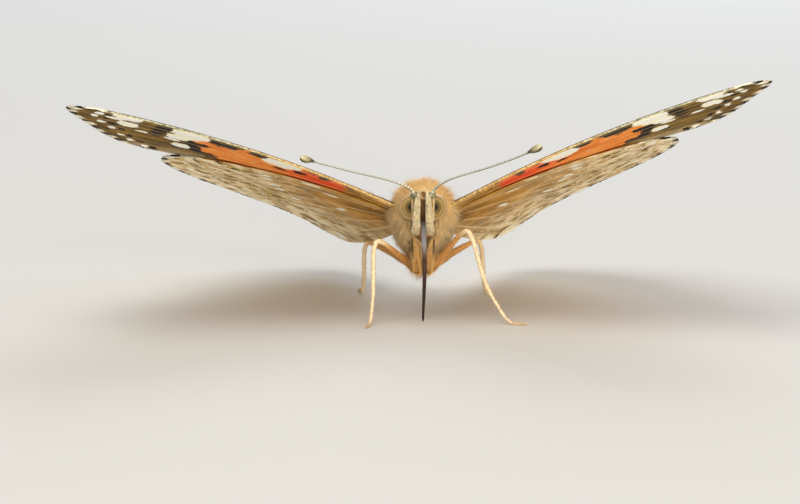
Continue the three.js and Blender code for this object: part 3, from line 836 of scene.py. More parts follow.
# %% Leading edge
EDGE_LOOK = nodes = Look("leading edge", 0.7, 0.15)
speck = nodes.noise(5000.0, 2.0)
near_edge = nodes.ramp(speck, [(0.3, "#96743c"), (0.5, "#d0ae70"), (0.7, "#ead2a0")])
far_edge = nodes.ramp(speck, [(0.3, "#70683f"), (0.5, "#aeb094"), (0.7, "#d9dcc4")])
nodes.color(nodes.mix(nodes.between(nodes.field("along"), 0.35, 0.75), near_edge, far_edge))
EDGE_RINGS, EDGE_AROUND = 220, 12
for side in SIDES:
    share = np.linspace(0.0, 0.99, EDGE_RINGS)
    path = place_wing(FORE, side, wing_plan(FORE, share, 0 * share), WING_SPLIT)
    radius = steps(share, [(0, 0.13), (0.1, 0.1), (0.5, 0.08), (1, 0.05)])
    tube, poles = limb(path, radius[:, None], EDGE_AROUND, across=(0, 0, 1))
    new_tube(f"leading_edge_{side}", tube, poles, EDGE_LOOK, (), {"along": along_field(tube)})

# %% [markdown]
# ## Wings: the fringe
# The outer margin ends in a row of long scales, white between the veins and dark at their ends. It is the
# softest edge of the animal, so it is made of thin flat blades instead of a cut line.

# %% Fringe
FRINGE_LOOK = nodes = Look("fringe scales", 0.75, 0.1)
nodes.color(nodes.mix(nodes.field("check"), paint("#2a1f14"), paint("#efe8d2")))


def sheet_frame(wing, side, s, t):
    """Points of the wing's middle sheet, the direction along the ray there, and the sheet's normal."""
    e = t * (len(wing["margin"]) - 1)
    at = place_wing(wing, side, wing_plan(wing, scalloped(wing, s, e), t), wing["lift"])
    out = place_wing(wing, side, wing_plan(wing, scalloped(wing, s, e) - 0.02, t), wing["lift"])
    aside = place_wing(wing, side, wing_plan(wing, scalloped(wing, s, e), t + 0.002), wing["lift"])
    along = unit(at - out)
    return at, along, unit(np.cross(along, aside - at)) * SIDES[side]


def make_fringe(title, wing, side, count, from_e, seed):
    """Flat blades along the outer margin, longest halfway between veins."""
    rng = np.random.default_rng(seed)
    spans = len(wing["margin"]) - 1
    e = np.sort(rng.uniform(from_e, spans - 0.02, count))
    at, along, normal = sheet_frame(wing, side, np.full(count, 0.995), e / spans)
    aside = unit(np.cross(normal, along))
    check = (vein_end_away(wing, e) > 0.22 + 0.05 * rng.normal(size=count)).astype(float)
    share = cells_of(wing, e)
    reach = (0.26 + 0.34 * 4 * share * (1 - share) * wing["scallop"] / 0.34) * rng.uniform(0.8, 1.15, count)
    lean = aside * rng.normal(size=(count, 1)) * 0.12
    heading = unit(along + lean + normal * rng.normal(size=(count, 1)) * 0.06)
    places = np.stack([0.02 + 0.9 * e / spans, rng.uniform(0.02, 0.9, count)], -1)
    tufts(f"{title}_{side}_fringe", at + normal * rng.uniform(-0.03, 0.03, (count, 1)), heading, reach, 0.038,
          FRINGE_LOOK, places, {"check": check}, flat=0.5, seed=seed)


for k, side in enumerate(SIDES):
    make_fringe("forewing", FORE, side, 1800, 0.75, 21 + k)
    make_fringe("hindwing", HIND, side, 2400, 0.1, 23 + k)

# %% [markdown]
# ## Wings: the hair
# The wings' roots and the fold beside the abdomen are hairy, so the wings never look stuck on. Random places
# are tried all over a wing and kept by chance, so the hair thins out gently and never ends in a line.

# %% Hair on the wings
WING_HAIR = nodes = Look("wing hair", 0.7, 0.2)
nodes.color(hair_color(nodes, "#634418", "#9c7233", "#c59a54", 0.35))


def wing_hair(name, wing, side, face, count, seed, reach_of, length, width):
    """Hair that lies along the rays on one face of a wing (face is 1 above and -1 below). A random place is
    kept with the chance that reach_of gives for its share s out and its margin place e."""
    rng = np.random.default_rng(seed)
    spans = len(wing["margin"]) - 1
    tries = count * 12
    s, e, chance = rng.uniform(0.0, 0.9, tries), rng.uniform(0.02, spans - 0.02, tries), rng.random(tries)
    kept = np.flatnonzero(chance < reach_of(s, e))[:count]
    s, e = s[kept], e[kept]
    at, along, normal = sheet_frame(wing, side, s, e / spans)
    error = rng.normal(size=(len(s), 3)) * np.array([0.14, 0.14, 0.05])
    heading = unit(along + normal * face * 0.16 + error)
    long = length * rng.uniform(0.6, 1.2, len(s)) * (1 - 0.5 * s)
    tufts(name, at + normal * face * WING_HALF * 0.6, heading, long, width, WING_HAIR,
          np.stack([0.02 + 0.9 * e / spans, 0.02 + 0.9 * s], -1), {}, bend=-normal * face * 0.08, seed=seed)


def near_root(s, e):
    """The chance of hair falls off within a fifth of the wing from the root, and at the front edge."""
    return (1 - ease(s, 0.05, 0.2)) * ease(e, 0.6, 1.6)


def inner_third(s, e):
    """The chance of hair is high near the root and along the fold beside the abdomen."""
    return np.maximum(1 - ease(s, 0.08, 0.3), ease(e, 6.2, 7.6) * (1 - ease(s, 0.6, 0.95)))


for k, side in enumerate(SIDES):
    wing_hair(f"forewing_{side}_hair_above", FORE, side, 1, 1500, 101 + k, near_root, 1.3, 0.02)
    wing_hair(f"forewing_{side}_hair_below", FORE, side, -1, 900, 103 + k, near_root, 0.6, 0.016)
    wing_hair(f"hindwing_{side}_hair_above", HIND, side, 1, 3200, 105 + k, inner_third, 2.0, 0.022)
    wing_hair(f"hindwing_{side}_hair_below", HIND, side, -1, 1200, 107 + k, near_root, 0.7, 0.016)

# %% [markdown]
# ## Body skin
# Under the fur the head, thorax and abdomen are one skin, made by carrying an oval along the middle line of
# the body. Its stations give where the middle line runs, and how wide and how high the oval is there.

# %% Body stations
BODY = np.array([  # back, middle height, half width, half height
    [-1.02, 8.95, 0.3, 0.4], [-0.9, 8.95, 0.55, 0.72], [-0.6, 8.97, 0.8, 1.0], [0.0, 9.0, 0.93, 1.14],
    [0.6, 8.97, 0.88, 1.06], [1.1, 8.85, 0.78, 0.95], [1.6, 8.6, 1.05, 1.35], [2.3, 8.28, 1.55, 1.95],
    [3.3, 7.92, 1.9, 2.35], [4.7, 7.52, 2.08, 2.55], [6.1, 7.16, 1.95, 2.28], [7.2, 6.93, 1.5, 1.72],
    [8.0, 6.72, 1.16, 1.3], [9.0, 6.4, 1.24, 1.34], [11.0, 5.8, 1.32, 1.42], [13.0, 5.2, 1.19, 1.28],
    [14.8, 4.66, 0.86, 0.94], [16.0, 4.3, 0.5, 0.55], [16.4, 4.18, 0.22, 0.24],
])
BODY_RINGS, BODY_AROUND = 240, 120
THORAX_HALF_HEIGHT = 2.4
WAIST, ABDOMEN_RING = 8.3, 1.15


def body_grid(rings, around):
    """An oval section carried along the body, upright at the head and square to the middle line behind. The
    abdomen's sections pull in a little at each ring's edge."""
    middle = smooth_path(np.stack([0 * BODY[:, 0], BODY[:, 0], BODY[:, 1]], -1), rings)
    wide = np.interp(middle[:, 1], BODY[:, 0], BODY[:, 2])
    high = np.interp(middle[:, 1], BODY[:, 0], BODY[:, 3])
    kernel = np.hanning(9) / np.hanning(9).sum()
    wide, high = (np.convolve(np.pad(v, 4, "edge"), kernel, "valid") for v in (wide, high))
    edge = np.abs(np.cos(np.pi * (middle[:, 1] - WAIST) / ABDOMEN_RING)) ** 8
    groove = 1 - 0.045 * edge * ease(middle[:, 1], WAIST, 9.0)
    wide, high = wide * groove, high * groove
    turn = np.linspace(0, 2 * np.pi, around, endpoint=False)
    along = unit(np.gradient(middle, axis=0))
    up = np.stack([0 * along[:, 0], -along[:, 2], along[:, 1]], -1)
    sideways = np.array([1.0, 0, 0]) * (wide[:, None] * np.sin(turn))[..., None]
    grid = middle[:, None] + sideways + up[:, None] * (high[:, None] * np.cos(turn))[..., None]
    return grid, np.stack([middle[0] - along[0] * 0.12, middle[-1] + along[-1] * 0.12])


def chest_gap_place(z):
    """How far the chest gap beside a foreleg is from the middle at height z. It comes nearer in a straight
    line as it runs down."""
    return 0.45 + 0.17 * (z - 5.1)


def chest_gap_shade(points):
    """1 along the gap that parts a foreleg's place from the cheek, falling off on both sides. The fur is
    thinned there, and the gap is painted dark as painted shade.
    """
    x, y, z = points[..., 0], points[..., 1], points[..., 2]
    away = (np.abs(x) - chest_gap_place(z)) / 0.13
    return np.exp(-(away**2)) * (1 - ease(y, 2.6, 3.6)) * (1 - ease(z, 8.0, 8.6))


def middle_height(y):
    """The height of the body's middle line at y."""
    return np.interp(y, BODY[:, 0], BODY[:, 1])


def body_zones(points):
    """Where the fur is warm, pale, golden or dark: warm above and at the front, pale on the cheeks and below,
    golden at the bottom of the chest, and dark on the rings. The dark between the feelers and along the chest
    gaps beside the forelegs is painted shade."""
    x, y, z = np.abs(points[..., 0]), points[..., 1], points[..., 2]
    high = (z - middle_height(y)) / THORAX_HALF_HEIGHT
    pale = (1 - ease(high, -0.55, 0.15)) * ease(y, 7.0, 9.0) * 0.9
    cheek = ease(x, 0.7, 1.05) * ease(y, 0.9, 1.3) * (1 - ease(y, 3.6, 5.0))
    cheek = cheek * (1 - ease(z, 7.9, 8.8)) * ease(z, 5.0, 5.9)
    dark = ease(high, 0.35, 0.8) * ease(y, 5.5, 8.5) * 0.55
    rings = ease(np.cos(2 * np.pi * (y - WAIST) / ABDOMEN_RING), 0.3, 0.8) * ease(y, 8.6, 9.2)
    # painted shade: the front of the head is darkened in the gap between the feelers
    gap = (1 - ease(x, 0.3, 0.5)) * (1 - ease(y, -0.5, -0.1)) * (1 - ease(z, 9.6, 9.9))
    gold = (1 - ease(z, 4.9, 6.6)) * ease(y, 0.9, 1.6) * (1 - ease(y, 5.5, 7.5))
    # painted shade: the chest gaps beside the forelegs are darkened
    dark = dark + 0.45 * rings * ease(high, -0.3, 0.3) + chest_gap_shade(points)
    return {
        "paleness": np.clip(np.maximum(pale, cheek), 0, 1),
        "goldness": gold,
        "dark_and_shade": np.clip(np.maximum(gap, dark), 0, 1),
    }


# %% Fur look and skin look
def zoned(nodes, color, zones):
    """The colour turned towards a zone's own, by a share of the zone's field."""
    for field, share, code in zones:
        color = nodes.mix(nodes.math("MULTIPLY", nodes.field(field), share), color, paint(code))
    return color


def new_fur(name, root, middle, tip, spread=0.3):
    """A soft, matte coat with a little sheen. Its hairs turn pale, golden or dark by the body's zones, and
    the dark zone also holds painted shade.
    """
    nodes = Look(name, 0.75, 0.2, **{"Sheen Weight": 0.12, "Sheen Roughness": 0.45})
    zones = [("paleness", 0.8, "#ecce94"), ("goldness", 0.75, "#d8a04e"), ("dark_and_shade", 0.85, "#4c3620")]
    nodes.color(zoned(nodes, hair_color(nodes, root, middle, tip, spread), zones))
    return nodes


SKIN_LOOK = nodes = Look("body skin", 0.7, 0.2)
speck = nodes.noise(5200.0, 3.0)
skin = nodes.ramp(speck, [(0.3, "#7a5330"), (0.5, "#a87a48"), (0.7, "#c99b62")])
# The dark zone of the skin is partly painted shade, in the gaps beside the forelegs and between the feelers.
skin_zones = [("paleness", 0.85, "#d9c49a"), ("goldness", 0.8, "#a8692b"), ("dark_and_shade", 0.85, "#3c2a18")]
nodes.color(zoned(nodes, skin, skin_zones))
nodes.relief(speck, 0.5, 0.00004)
WARM_FUR = new_fur("warm fur", "#96703a", "#d9a860", "#f0d498")
CREAM_FUR = new_fur("cream fur", "#b5935c", "#e2c890", "#f5e5be", 0.25)
BROWN_FUR = new_fur("brown fur", "#57401f", "#9a7748", "#cfb284", 0.4)

# %% Body skin piece
grid, poles = body_grid(BODY_RINGS, BODY_AROUND)
new_tube("body_skin", grid, poles, SKIN_LOOK, ("head", "thorax", "abdomen"),
         body_zones(closed_points(grid, poles)))

# %% [markdown]
# ## Body fur
# The thorax wears long, soft hair that stands off it like a halo, longest round the collar. The head has a
# short brush, and the abdomen lies in short overlapping scales. Roots are scattered by area over the skin,
# and each hair leans back from the face with its own small error.

# %% Body coats
BODY_GRID = grid
BACK = grid[..., 1]
ABOVE = (grid[..., 2] - middle_height(BACK)) / THORAX_HALF_HEIGHT
LOCK_LEAN, LOCK_LENGTH = 0.2, 0.16


def coat(name, count, seed, density, length, width, lean, rise, look, jitter=0.25, droop=0.25, pull=(0, 0, 0),
         gather=0.0):
    """Hair on the body skin: heading = rise * normal + lean * backward + pull + a random part, drawn to the
    middle by gather times the distance from it. Hairs of one small patch share a part of their error, so
    that they stand in locks."""
    rng = np.random.default_rng(seed)
    place, normal, along, flat, cell = scatter(BODY_GRID, count, seed, density)
    heart = np.stack([0 * place[:, 0], place[:, 1], middle_height(place[:, 1])], -1)
    normal = outward(normal, place, heart)
    heading = normal * rise + along * lean + np.array(pull, float) + rng.normal(size=normal.shape) * jitter
    patch = (cell[0] // 4) * 100 + cell[1] // 3
    lock = np.random.default_rng(seed + 500).normal(size=(patch.max() + 1, 4))[patch]
    heading = unit(heading - np.array([1.0, 0, 0]) * place[:, :1] * gather + lock[:, :3] * LOCK_LEAN)
    long = length[cell] if isinstance(length, np.ndarray) else length
    long = long * rng.uniform(0.65, 1.2, count) * np.clip(1 + LOCK_LENGTH * lock[:, 3], 0.6, 1.5)
    bend = along * 0.35 * droop + np.array([0, 0, -1.0]) * droop
    tufts(name, place - normal * 0.03, heading, long, width * rng.uniform(0.7, 1.3, count), look, flat,
          body_zones(place), bend, seed=seed)


# %% Thorax, cheeks, chest, head and abdomen
thorax = ease(BACK, 1.5, 2.3) * (1 - ease(BACK, 7.6, 8.6)) * (1 - 0.97 * chest_gap_shade(grid))
under_front = (1 - ease(ABOVE, -0.2, 0.1)) * (1 - ease(BACK, 2.5, 4.0))
long = 0.75 + 0.55 * (1 - ease(BACK, 2.0, 5.5)) - 0.5 * under_front
coat("thorax_fur_upper", 12000, 11, thorax * ease(ABOVE, -0.35, 0.1), long, 0.022, 0.55, 0.75, WARM_FUR)
coat("thorax_fur_lower", 10000, 12, thorax * (1 - ease(ABOVE, -0.4, 0.05)), long * 0.8, 0.024, 0.35, 0.6,
     WARM_FUR)
collar = ease(BACK, 1.0, 1.5) * (1 - ease(BACK, 2.4, 3.2)) * (1 - 0.85 * chest_gap_shade(grid))
coat("collar_fur", 10000, 13, collar * ease(ABOVE, -0.3, 0.1), 0.9, 0.02, -0.05, 0.9, WARM_FUR)
cheek = ease(np.abs(grid[..., 0]) - chest_gap_place(grid[..., 2]), 0.1, 0.28) * (1 - ease(BACK, 2.8, 4.2))
cheek = cheek * ease(BACK, 1.3, 1.7) * (1 - ease(ABOVE, 0.0, 0.3))
coat("cheek_fur", 8000, 16, cheek, 0.85, 0.022, 0.1, 0.45, CREAM_FUR, jitter=0.14, droop=0.1,
     pull=(0, -0.1, -0.8))
chest = (1 - ease(ABOVE, -0.75, -0.45)) * ease(BACK, 1.5, 2.2) * (1 - ease(BACK, 4.8, 6.0))
coat("chest_fur", 9000, 17, chest, 2.0, 0.024, -0.1, 0.15, WARM_FUR, jitter=0.12, droop=0.0,
     pull=(0, -0.35, -1.0), gather=0.6)
brow = (1 - ease(BACK, 0.9, 1.2)) * (0.3 + ease(ABOVE, 0.1, 0.3))
brow = brow * (1 - body_zones(grid)["dark_and_shade"])
coat("head_fur", 7000, 14, brow, 0.3, 0.016, 0.3, 0.8, WARM_FUR, jitter=0.3, droop=0.05)
abdomen = ease(BACK, 7.6, 8.4)
coat("abdomen_scales", 12000, 15, abdomen, 0.34, 0.04, 1.0, 0.35, BROWN_FUR, jitter=0.08, droop=0.05)

# %% [markdown]
# ## Eyes
# A compound eye is a bulging half ball of thousands of lenses. This one is olive with a paler rim, and a dark
# false pupil shows where the lenses are seen into. The lenses are a hexagon relief in the finish; the ball
# and the pale rim of scales round it are meshes.

# %% Eye look
EYE_LOOK = nodes = Look("eye", 0.36, 0.09, **{"Coat Weight": 0.03, "Coat Roughness": 0.25})
iris = nodes.ramp(nodes.field("around"), [
    (0.0, "#090603"), (0.1, "#0f0a05"), (0.14, "#4e4022"), (0.24, "#6c5a30"), (0.33, "#857143"),
    (0.37, "#b2935f"), (0.42, "#8e784a"), (0.56, "#a5895a"), (0.61, "#d2b184"), (0.66, "#a98c60"),
    (1.0, "#cda87c"),
])
mottle = nodes.between(nodes.noise(2600.0, 2.0), 0.45, 0.7, 0.0, 0.3)
nodes.color(nodes.mix(mottle, iris, paint("#5f5a38")))
nodes.relief(nodes.mesh_lines(20000.0), 0.25, 0.00002)

# %% Eye pieces
EYE_RINGS, EYE_SEGMENTS = 60, 96
PUPIL = np.array([-0.07, -0.98, 0.14])
AROUND_ANGLE = 1.75


def eye_middle(sign):
    """The middle of the eye on the side of sign."""
    return HEAD + np.array([sign * EYE_OUT, EYE_BACK, 0])


lat = np.linspace(0.02, np.pi - 0.02, EYE_RINGS)[:, None]
turn = np.linspace(0, 2 * np.pi, EYE_SEGMENTS, endpoint=False)[None]
ball = np.stack([np.cos(lat) + 0 * turn, np.sin(lat) * np.cos(turn), np.sin(lat) * np.sin(turn)], -1)
poles = np.array([[1.0, 0, 0], [-1.0, 0, 0]])
for side, sign in SIDES.items():
    pupil = unit(PUPIL * [sign, 1, 1])
    away = np.arccos(np.clip(unit(closed_points(ball, poles)) @ pupil, -1, 1)) / AROUND_ANGLE
    grid, ends = (eye_middle(sign) + part * EYE_RADII for part in (ball, poles))
    new_tube(f"eye_{side}_ball", grid, ends, EYE_LOOK, (f"eye_{side}",), {"around": away})

# %% [markdown]
# ## Eye rims and brow
# Short cream scales make a rim round each eye, and longer ones a brow between the antennae, whose roots sit
# in greyer scales. They are tufts again, set on the circle where the eye leaves the head, or in an oval.


# %% Rims
def rim_tufts(name, side, count, seed):
    """Tufts on the circle where the eye leaves the head, leaning outward from it."""
    rng = np.random.default_rng(seed)
    sign = SIDES[side]
    turn = rng.uniform(0, 2 * np.pi, count)
    tilt = -0.32 + rng.normal(size=count) * 0.03
    ring = np.sqrt(1 - tilt**2)
    local = np.stack([sign * tilt, ring * np.cos(turn), ring * np.sin(turn)], -1)
    roots = eye_middle(sign) + local * EYE_RADII * 1.01
    heading = unit(local * 0.5 + np.array([sign * 0.75, 0, 0]) + rng.normal(size=(count, 3)) * 0.12)
    places = np.stack([0.05 + 0.03 * turn / 6.3, 0.02 + 0.4 * rng.random(count)], -1)
    tufts(name, roots, heading, rng.uniform(0.1, 0.2, count), 0.02, CREAM_FUR, places,
          {"paleness": 0.5, "dark_and_shade": 0.0}, seed=seed)


for k, side in enumerate(SIDES):
    rim_tufts(f"eye_rim_{side}", side, 1600, 31 + k)

# %% Brow and the scales round the antennae
MOTTLED_FUR = nodes = Look("mottled scales", 0.7, 0.2)
mottles = [(0.2, "#35301f"), (0.35, "#7f8065"), (0.6, "#b5b493"), (0.8, "#dcd5b4")]
nodes.color(nodes.ramp(nodes.field("chance"), mottles))


def clump(name, middle, spread, heading, length, width, count, look, seed, fields, hollow=0.0):
    """A brush of tufts whose roots lie in an oval about middle. With hollow, none grow nearer its middle than
    that share, so that they make a ring."""
    rng = np.random.default_rng(seed)
    share = np.sqrt(rng.uniform(hollow**2, 1, count))[:, None]
    turn = rng.uniform(0, 2 * np.pi, count)
    aside = np.stack([np.cos(turn), 0.3 * np.sin(turn), np.sin(turn)], -1) * share
    out = unit(np.array(heading, float) + aside * 0.35 + rng.normal(size=(count, 3)) * 0.08)
    roots = np.array(middle, float) + aside * np.array(spread, float)
    places = 0.5 + 0.2 * aside[:, [0, 2]]
    long = length * rng.uniform(0.75, 1.15, count)
    tufts(name, roots, out, long, width, look, places, fields, seed=seed)


clump("brow_ring", (0, -0.5, 10.0), (0.2, 0.1, 0.22), (0, -1.0, 0.3), 0.75, 0.018, 700, CREAM_FUR, 51,
      {"paleness": 0.2, "dark_and_shade": 0.0}, hollow=0.62)
for k, (side, sign) in enumerate(SIDES.items()):
    clump(f"antenna_scales_{side}", (sign * 0.62, -0.5, 9.86), (0.3, 0.2, 0.24), (sign * 0.1, -0.9, 0.45),
          0.34, 0.024, 900, MOTTLED_FUR, 52 + k, {})

# %% [markdown]
# ## Antennae
# An antenna is ringed like a cane, pale over dark, and ends in a club with a pale tip. The rings could be
# modelled one by one. They are so small that a wave in the radius and bands in the colour, both from the
# share of the length, do as well.

# %% Antenna look
ANTENNA_BANDS = 46
ANTENNA_LOOK = nodes = Look("antenna", 0.5)
share = nodes.field("along")
front = nodes.field("frontside")
band = nodes.between(nodes.math("FRACT", nodes.math("MULTIPLY", share, float(ANTENNA_BANDS))), 0.12, 0.3)
shaft = nodes.mix(nodes.math("MULTIPLY", band, front), paint("#3a3428"), paint("#dcdfd0"))
club = nodes.ramp(share, [(0.89, "#2b2217"), (0.925, "#5a4a30"), (0.945, "#a39a72"), (1.0, "#c6bf98")])
club = nodes.mix(front, paint("#4a3f28"), club)
nodes.color(nodes.mix(nodes.between(share, 0.87, 0.9), shaft, club))
nodes.relief(band, 0.4, 0.00003)

# %% Antenna pieces
ANTENNA_RINGS, ANTENNA_AROUND = 240, 20
ANTENNA = {
    "left": [(0.6, -0.5, 9.9), (0.9, -0.9, 10.55), (1.76, -2.0, 11.29), (5.08, -6.3, 12.95),
             (7.03, -9.0, 14.03), (8.7, -11.4, 15.1)],
    "right": [(0.6, -0.5, 9.9), (0.95, -0.9, 10.5), (2.21, -2.0, 11.22), (5.38, -6.3, 12.59),
              (7.44, -9.0, 13.5), (9.0, -11.4, 14.25)],
}
share = np.linspace(0, 1, ANTENNA_RINGS)
radius = steps(share, [(0, 0.15), (0.03, 0.14), (0.045, 0.09), (0.06, 0.11), (0.075, 0.08), (0.86, 0.08),
                       (0.9, 0.13), (0.93, 0.24), (0.96, 0.29), (0.98, 0.26), (0.993, 0.17), (1, 0.07)])
radius = radius * (1 + 0.05 * np.cos(2 * np.pi * ANTENNA_BANDS * share) * (share > 0.08) * (share < 0.89))
for side, sign in SIDES.items():
    path = smooth_path(np.array(ANTENNA[side]) * [sign, 1, 1], ANTENNA_RINGS)
    tube, poles = limb(path, radius[:, None], ANTENNA_AROUND, across=(0, 0, 1))
    height = np.concatenate([((tube - path[:, None])[..., 2] / radius[:, None]).ravel(), [0, 0]])
    new_tube(f"antenna_{side}_shaft", tube, poles, ANTENNA_LOOK, (f"antenna_{side}",),
             {"along": along_field(tube), "frontside": ease(height, -0.85, -0.35)})

# %% [markdown]
# ## Tongue
# The tongue is two half pipes zipped together, so its section has a groove down the front and the back. Near
# the head it is painted grey, a painted reflection of the sky on the part that slopes forward, and below it
# is dark brown.

# %% Tongue
TONGUE_LOOK = nodes = Look("tongue", 0.42, 0.3)
share = nodes.field("along")
# painted reflection: the grey from about 0.12 to 0.32 of the length stands for the sky mirrored on the tongue
nodes.color(nodes.ramp(share, [(0.0, "#4a3a2c"), (0.12, "#6a6869"), (0.32, "#7b7b80"), (0.39, "#5b4a3d"),
                               (0.44, "#34190c"), (1.0, "#220e06")]))
TONGUE_RIBS = 150.0
nodes.relief(nodes.math("FRACT", nodes.math("MULTIPLY", share, TONGUE_RIBS)), 0.3, 0.00002)
TONGUE = [(0, -0.5, 8.05), (0.03, -1.5, 7.55), (0.09, -2.7, 6.4), (0.13, -3.25, 5.0), (0.1, -3.15, 3.4),
          (0.04, -2.8, 1.7), (0, -2.45, 0.5)]
TONGUE_RINGS, TONGUE_AROUND = 200, 32
turn = np.linspace(0, 2 * np.pi, TONGUE_AROUND, endpoint=False)
two_pipes = 1 - 0.35 * np.abs(np.sin(turn)) ** 10
radius = steps(np.linspace(0, 1, TONGUE_RINGS), [(0, 0.2), (0.3, 0.19), (0.7, 0.14), (0.97, 0.09), (1, 0.04)])
tube, poles = limb(smooth_path(TONGUE, TONGUE_RINGS), radius[:, None] * two_pipes, TONGUE_AROUND)
new_tube("tongue", tube, poles, TONGUE_LOOK, ("proboscis",), {"along": along_field(tube)})

# %% [markdown]
# ## Feelers
# The feelers beside the tongue are blades of cream scales with dark flecks. The scales are tufts on a slim
# core, and one in ten of them is dark.

# %% Feelers
FEELER_LOOK = nodes = Look("feeler scales", 0.7)
nodes.color(nodes.ramp(nodes.noise(7000.0, 2.0), [(0.32, "#5b4a30"), (0.42, "#d3c297"), (0.6, "#efe3c0")]))
FLECKED_FUR = nodes = Look("flecked feeler fur", 0.7, 0.2)
fleck = nodes.between(nodes.field("chance"), 0.9, 0.93)
nodes.color(nodes.mix(fleck, hair_color(nodes, "#c2ad7e", "#e8d9b0", "#f8efd4", 0.2), paint("#2f2415")))
FEELER = [(0.62, -0.4, 7.15), (0.56, -1.15, 7.35), (0.5, -1.6, 8.2), (0.45, -1.64, 9.3), (0.33, -1.5, 10.25)]
FEELER_RINGS, FEELER_AROUND, FEELER_TUFTS = 90, 28, 4200
radius = steps(np.linspace(0, 1, FEELER_RINGS),
               [(0, 0.12), (0.12, 0.26), (0.35, 0.25), (0.75, 0.2), (0.93, 0.13), (1, 0.05)])
for k, (side, sign) in enumerate(SIDES.items()):
    path = smooth_path(np.array(FEELER) * [sign, 1, 1], FEELER_RINGS)
    tube, poles = limb(path, radius[:, None], FEELER_AROUND)
    new_tube(f"feeler_{side}", tube, poles, FEELER_LOOK, (f"palp_{side}",),
             {"along": along_field(tube)})
    rng = np.random.default_rng(41 + k)
    root, normal, along, flat, cell = scatter(tube, FEELER_TUFTS, 41 + k)
    normal = outward(normal, root, path[cell[0]])
    heading = unit(normal * 0.28 + along + rng.normal(size=root.shape) * 0.1)
    long = rng.uniform(0.12, 0.24, FEELER_TUFTS)
    tufts(f"feeler_{side}_scales", root, heading, long, 0.017, FLECKED_FUR, flat, {}, seed=41 + k)

# %% [markdown]
# ## Legs
# The walking legs have a stout orange thigh and a thin cream shin and foot, with a double row of short
# spines. The front pair doesn't walk: it is a pair of furry brushes held under the head.

# %% Leg look
LEG_LOOK = nodes = Look("leg scales", 0.6)
share = nodes.field("along")
speck = nodes.noise(6000.0, 2.0)
shin = nodes.ramp(speck, [(0.3, "#d2b88e"), (0.6, "#ecdbb8")])
thigh = nodes.ramp(speck, [(0.3, "#a87030"), (0.6, "#d8a056")])
leg = nodes.mix(nodes.between(share, 0.36, 0.46), thigh, shin)
nodes.color(nodes.mix(nodes.between(share, 0.86, 1.0, 0.0, 0.55), leg, paint("#8a6336")))
nodes.relief(speck, 0.4, 0.00003)
SPINE_LOOK = nodes = Look("spine", 0.45)
nodes.color(nodes.mix(nodes.between(nodes.field("tip"), 0.2, 0.9), paint("#e2cfa4"), paint("#6a4724")))

# %% Leg routes
SOLE = 0.2
FORE_LEG = [(0.85, 2.5, 6.6), (0.66, 1.95, 5.2), (0.45, 1.55, 4.1), (0.43, 1.0, 3.85), (0.52, 0.5, 4.6),
            (0.72, 0.2, 6.3)]
MID_HIP = [(1.15, 4.1, 5.6), (0.75, 3.75, 4.3), (0.62, 3.35, 3.75)]
HIND_HIP = [(1.0, 6.4, 5.4), (0.75, 6.5, 4.2), (1.0, 6.7, 3.75)]
LEGS = {
    "foreleg_left": FORE_LEG,
    "foreleg_right": FORE_LEG,
    "midleg_left": MID_HIP + [
        (1.5, 2.5, 4.85), (3.4, 0.5, 7.05), (3.75, 0.25, 6.6), (4.8, -0.3, 3.2), (5.7, -0.6, 1.5),
        (6.5, -0.9, 0.45), (6.9, -1.05, SOLE), (8.0, -1.5, SOLE),
    ],
    "midleg_right": MID_HIP + [
        (1.5, 2.4, 4.6), (3.5, 0.5, 6.25), (3.75, 0.3, 5.8), (3.85, -0.4, 2.2), (3.95, -0.85, 1.1),
        (4.05, -1.4, 0.4), (4.12, -1.8, SOLE), (4.4, -3.0, SOLE),
    ],
    "hindleg_left": HIND_HIP + [
        (2.6, 7.8, 4.4), (4.35, 9.0, 5.0), (4.6, 9.4, 4.6), (4.9, 11.7, 1.35), (5.05, 12.5, 0.55),
        (5.15, 13.2, SOLE), (5.5, 15.2, SOLE),
    ],
    "hindleg_right": HIND_HIP + [
        (2.6, 7.8, 4.3), (4.35, 9.0, 4.85), (4.6, 9.4, 4.45), (4.75, 11.9, 1.35), (4.85, 12.7, 0.55),
        (4.95, 13.4, SOLE), (5.2, 15.4, SOLE),
    ],
}
LEG_RINGS, LEG_AROUND, LEG_SPINES = 220, 24, 44


def foot_joints(share):
    """Small pinches where the five pieces of the foot meet."""
    spots = np.array([0.78, 0.84, 0.885, 0.925, 0.965])
    return 1 - 0.28 * np.exp(-(((share[:, None] - spots) / 0.006) ** 2)).max(1)


def clear_of_floor(reach, root, heading):
    """The reach, shortened where a hair would go through the floor."""
    return np.minimum(reach, np.maximum((root[:, 2] - 0.02) / np.maximum(-heading[:, 2], 0.05), 0.02))


# %% Leg pieces
def leg_tube(name, walking, share):
    """The leg's path on its side of the body, its radius and its skin."""
    sign = SIDES[name.split("_")[1]]
    path = smooth_path(np.array(LEGS[name]) * [sign, 1, 1], LEG_RINGS)
    if walking:
        radius = steps(share, [(0, 0.42), (0.14, 0.32), (0.22, 0.24), (0.36, 0.17), (0.41, 0.16),
                               (0.43, 0.19), (0.5, 0.165), (0.72, 0.15), (0.78, 0.13), (0.97, 0.11),
                               (1, 0.05)])
        radius = radius * foot_joints(share)
        path[:, 2] = np.maximum(path[:, 2] - 0.08 * ease(share, 0.8, 0.9), radius + 0.005)
    else:
        radius = steps(share, [(0, 0.3), (0.4, 0.19), (0.85, 0.17), (1, 0.06)])
    tube, poles = limb(path, radius[:, None], LEG_AROUND)
    new_tube(f"{name}_skin", tube, poles, LEG_LOOK, (name,),
             {"along": along_field(tube) * (1.0 if walking else 0.4)})
    return path, radius, tube


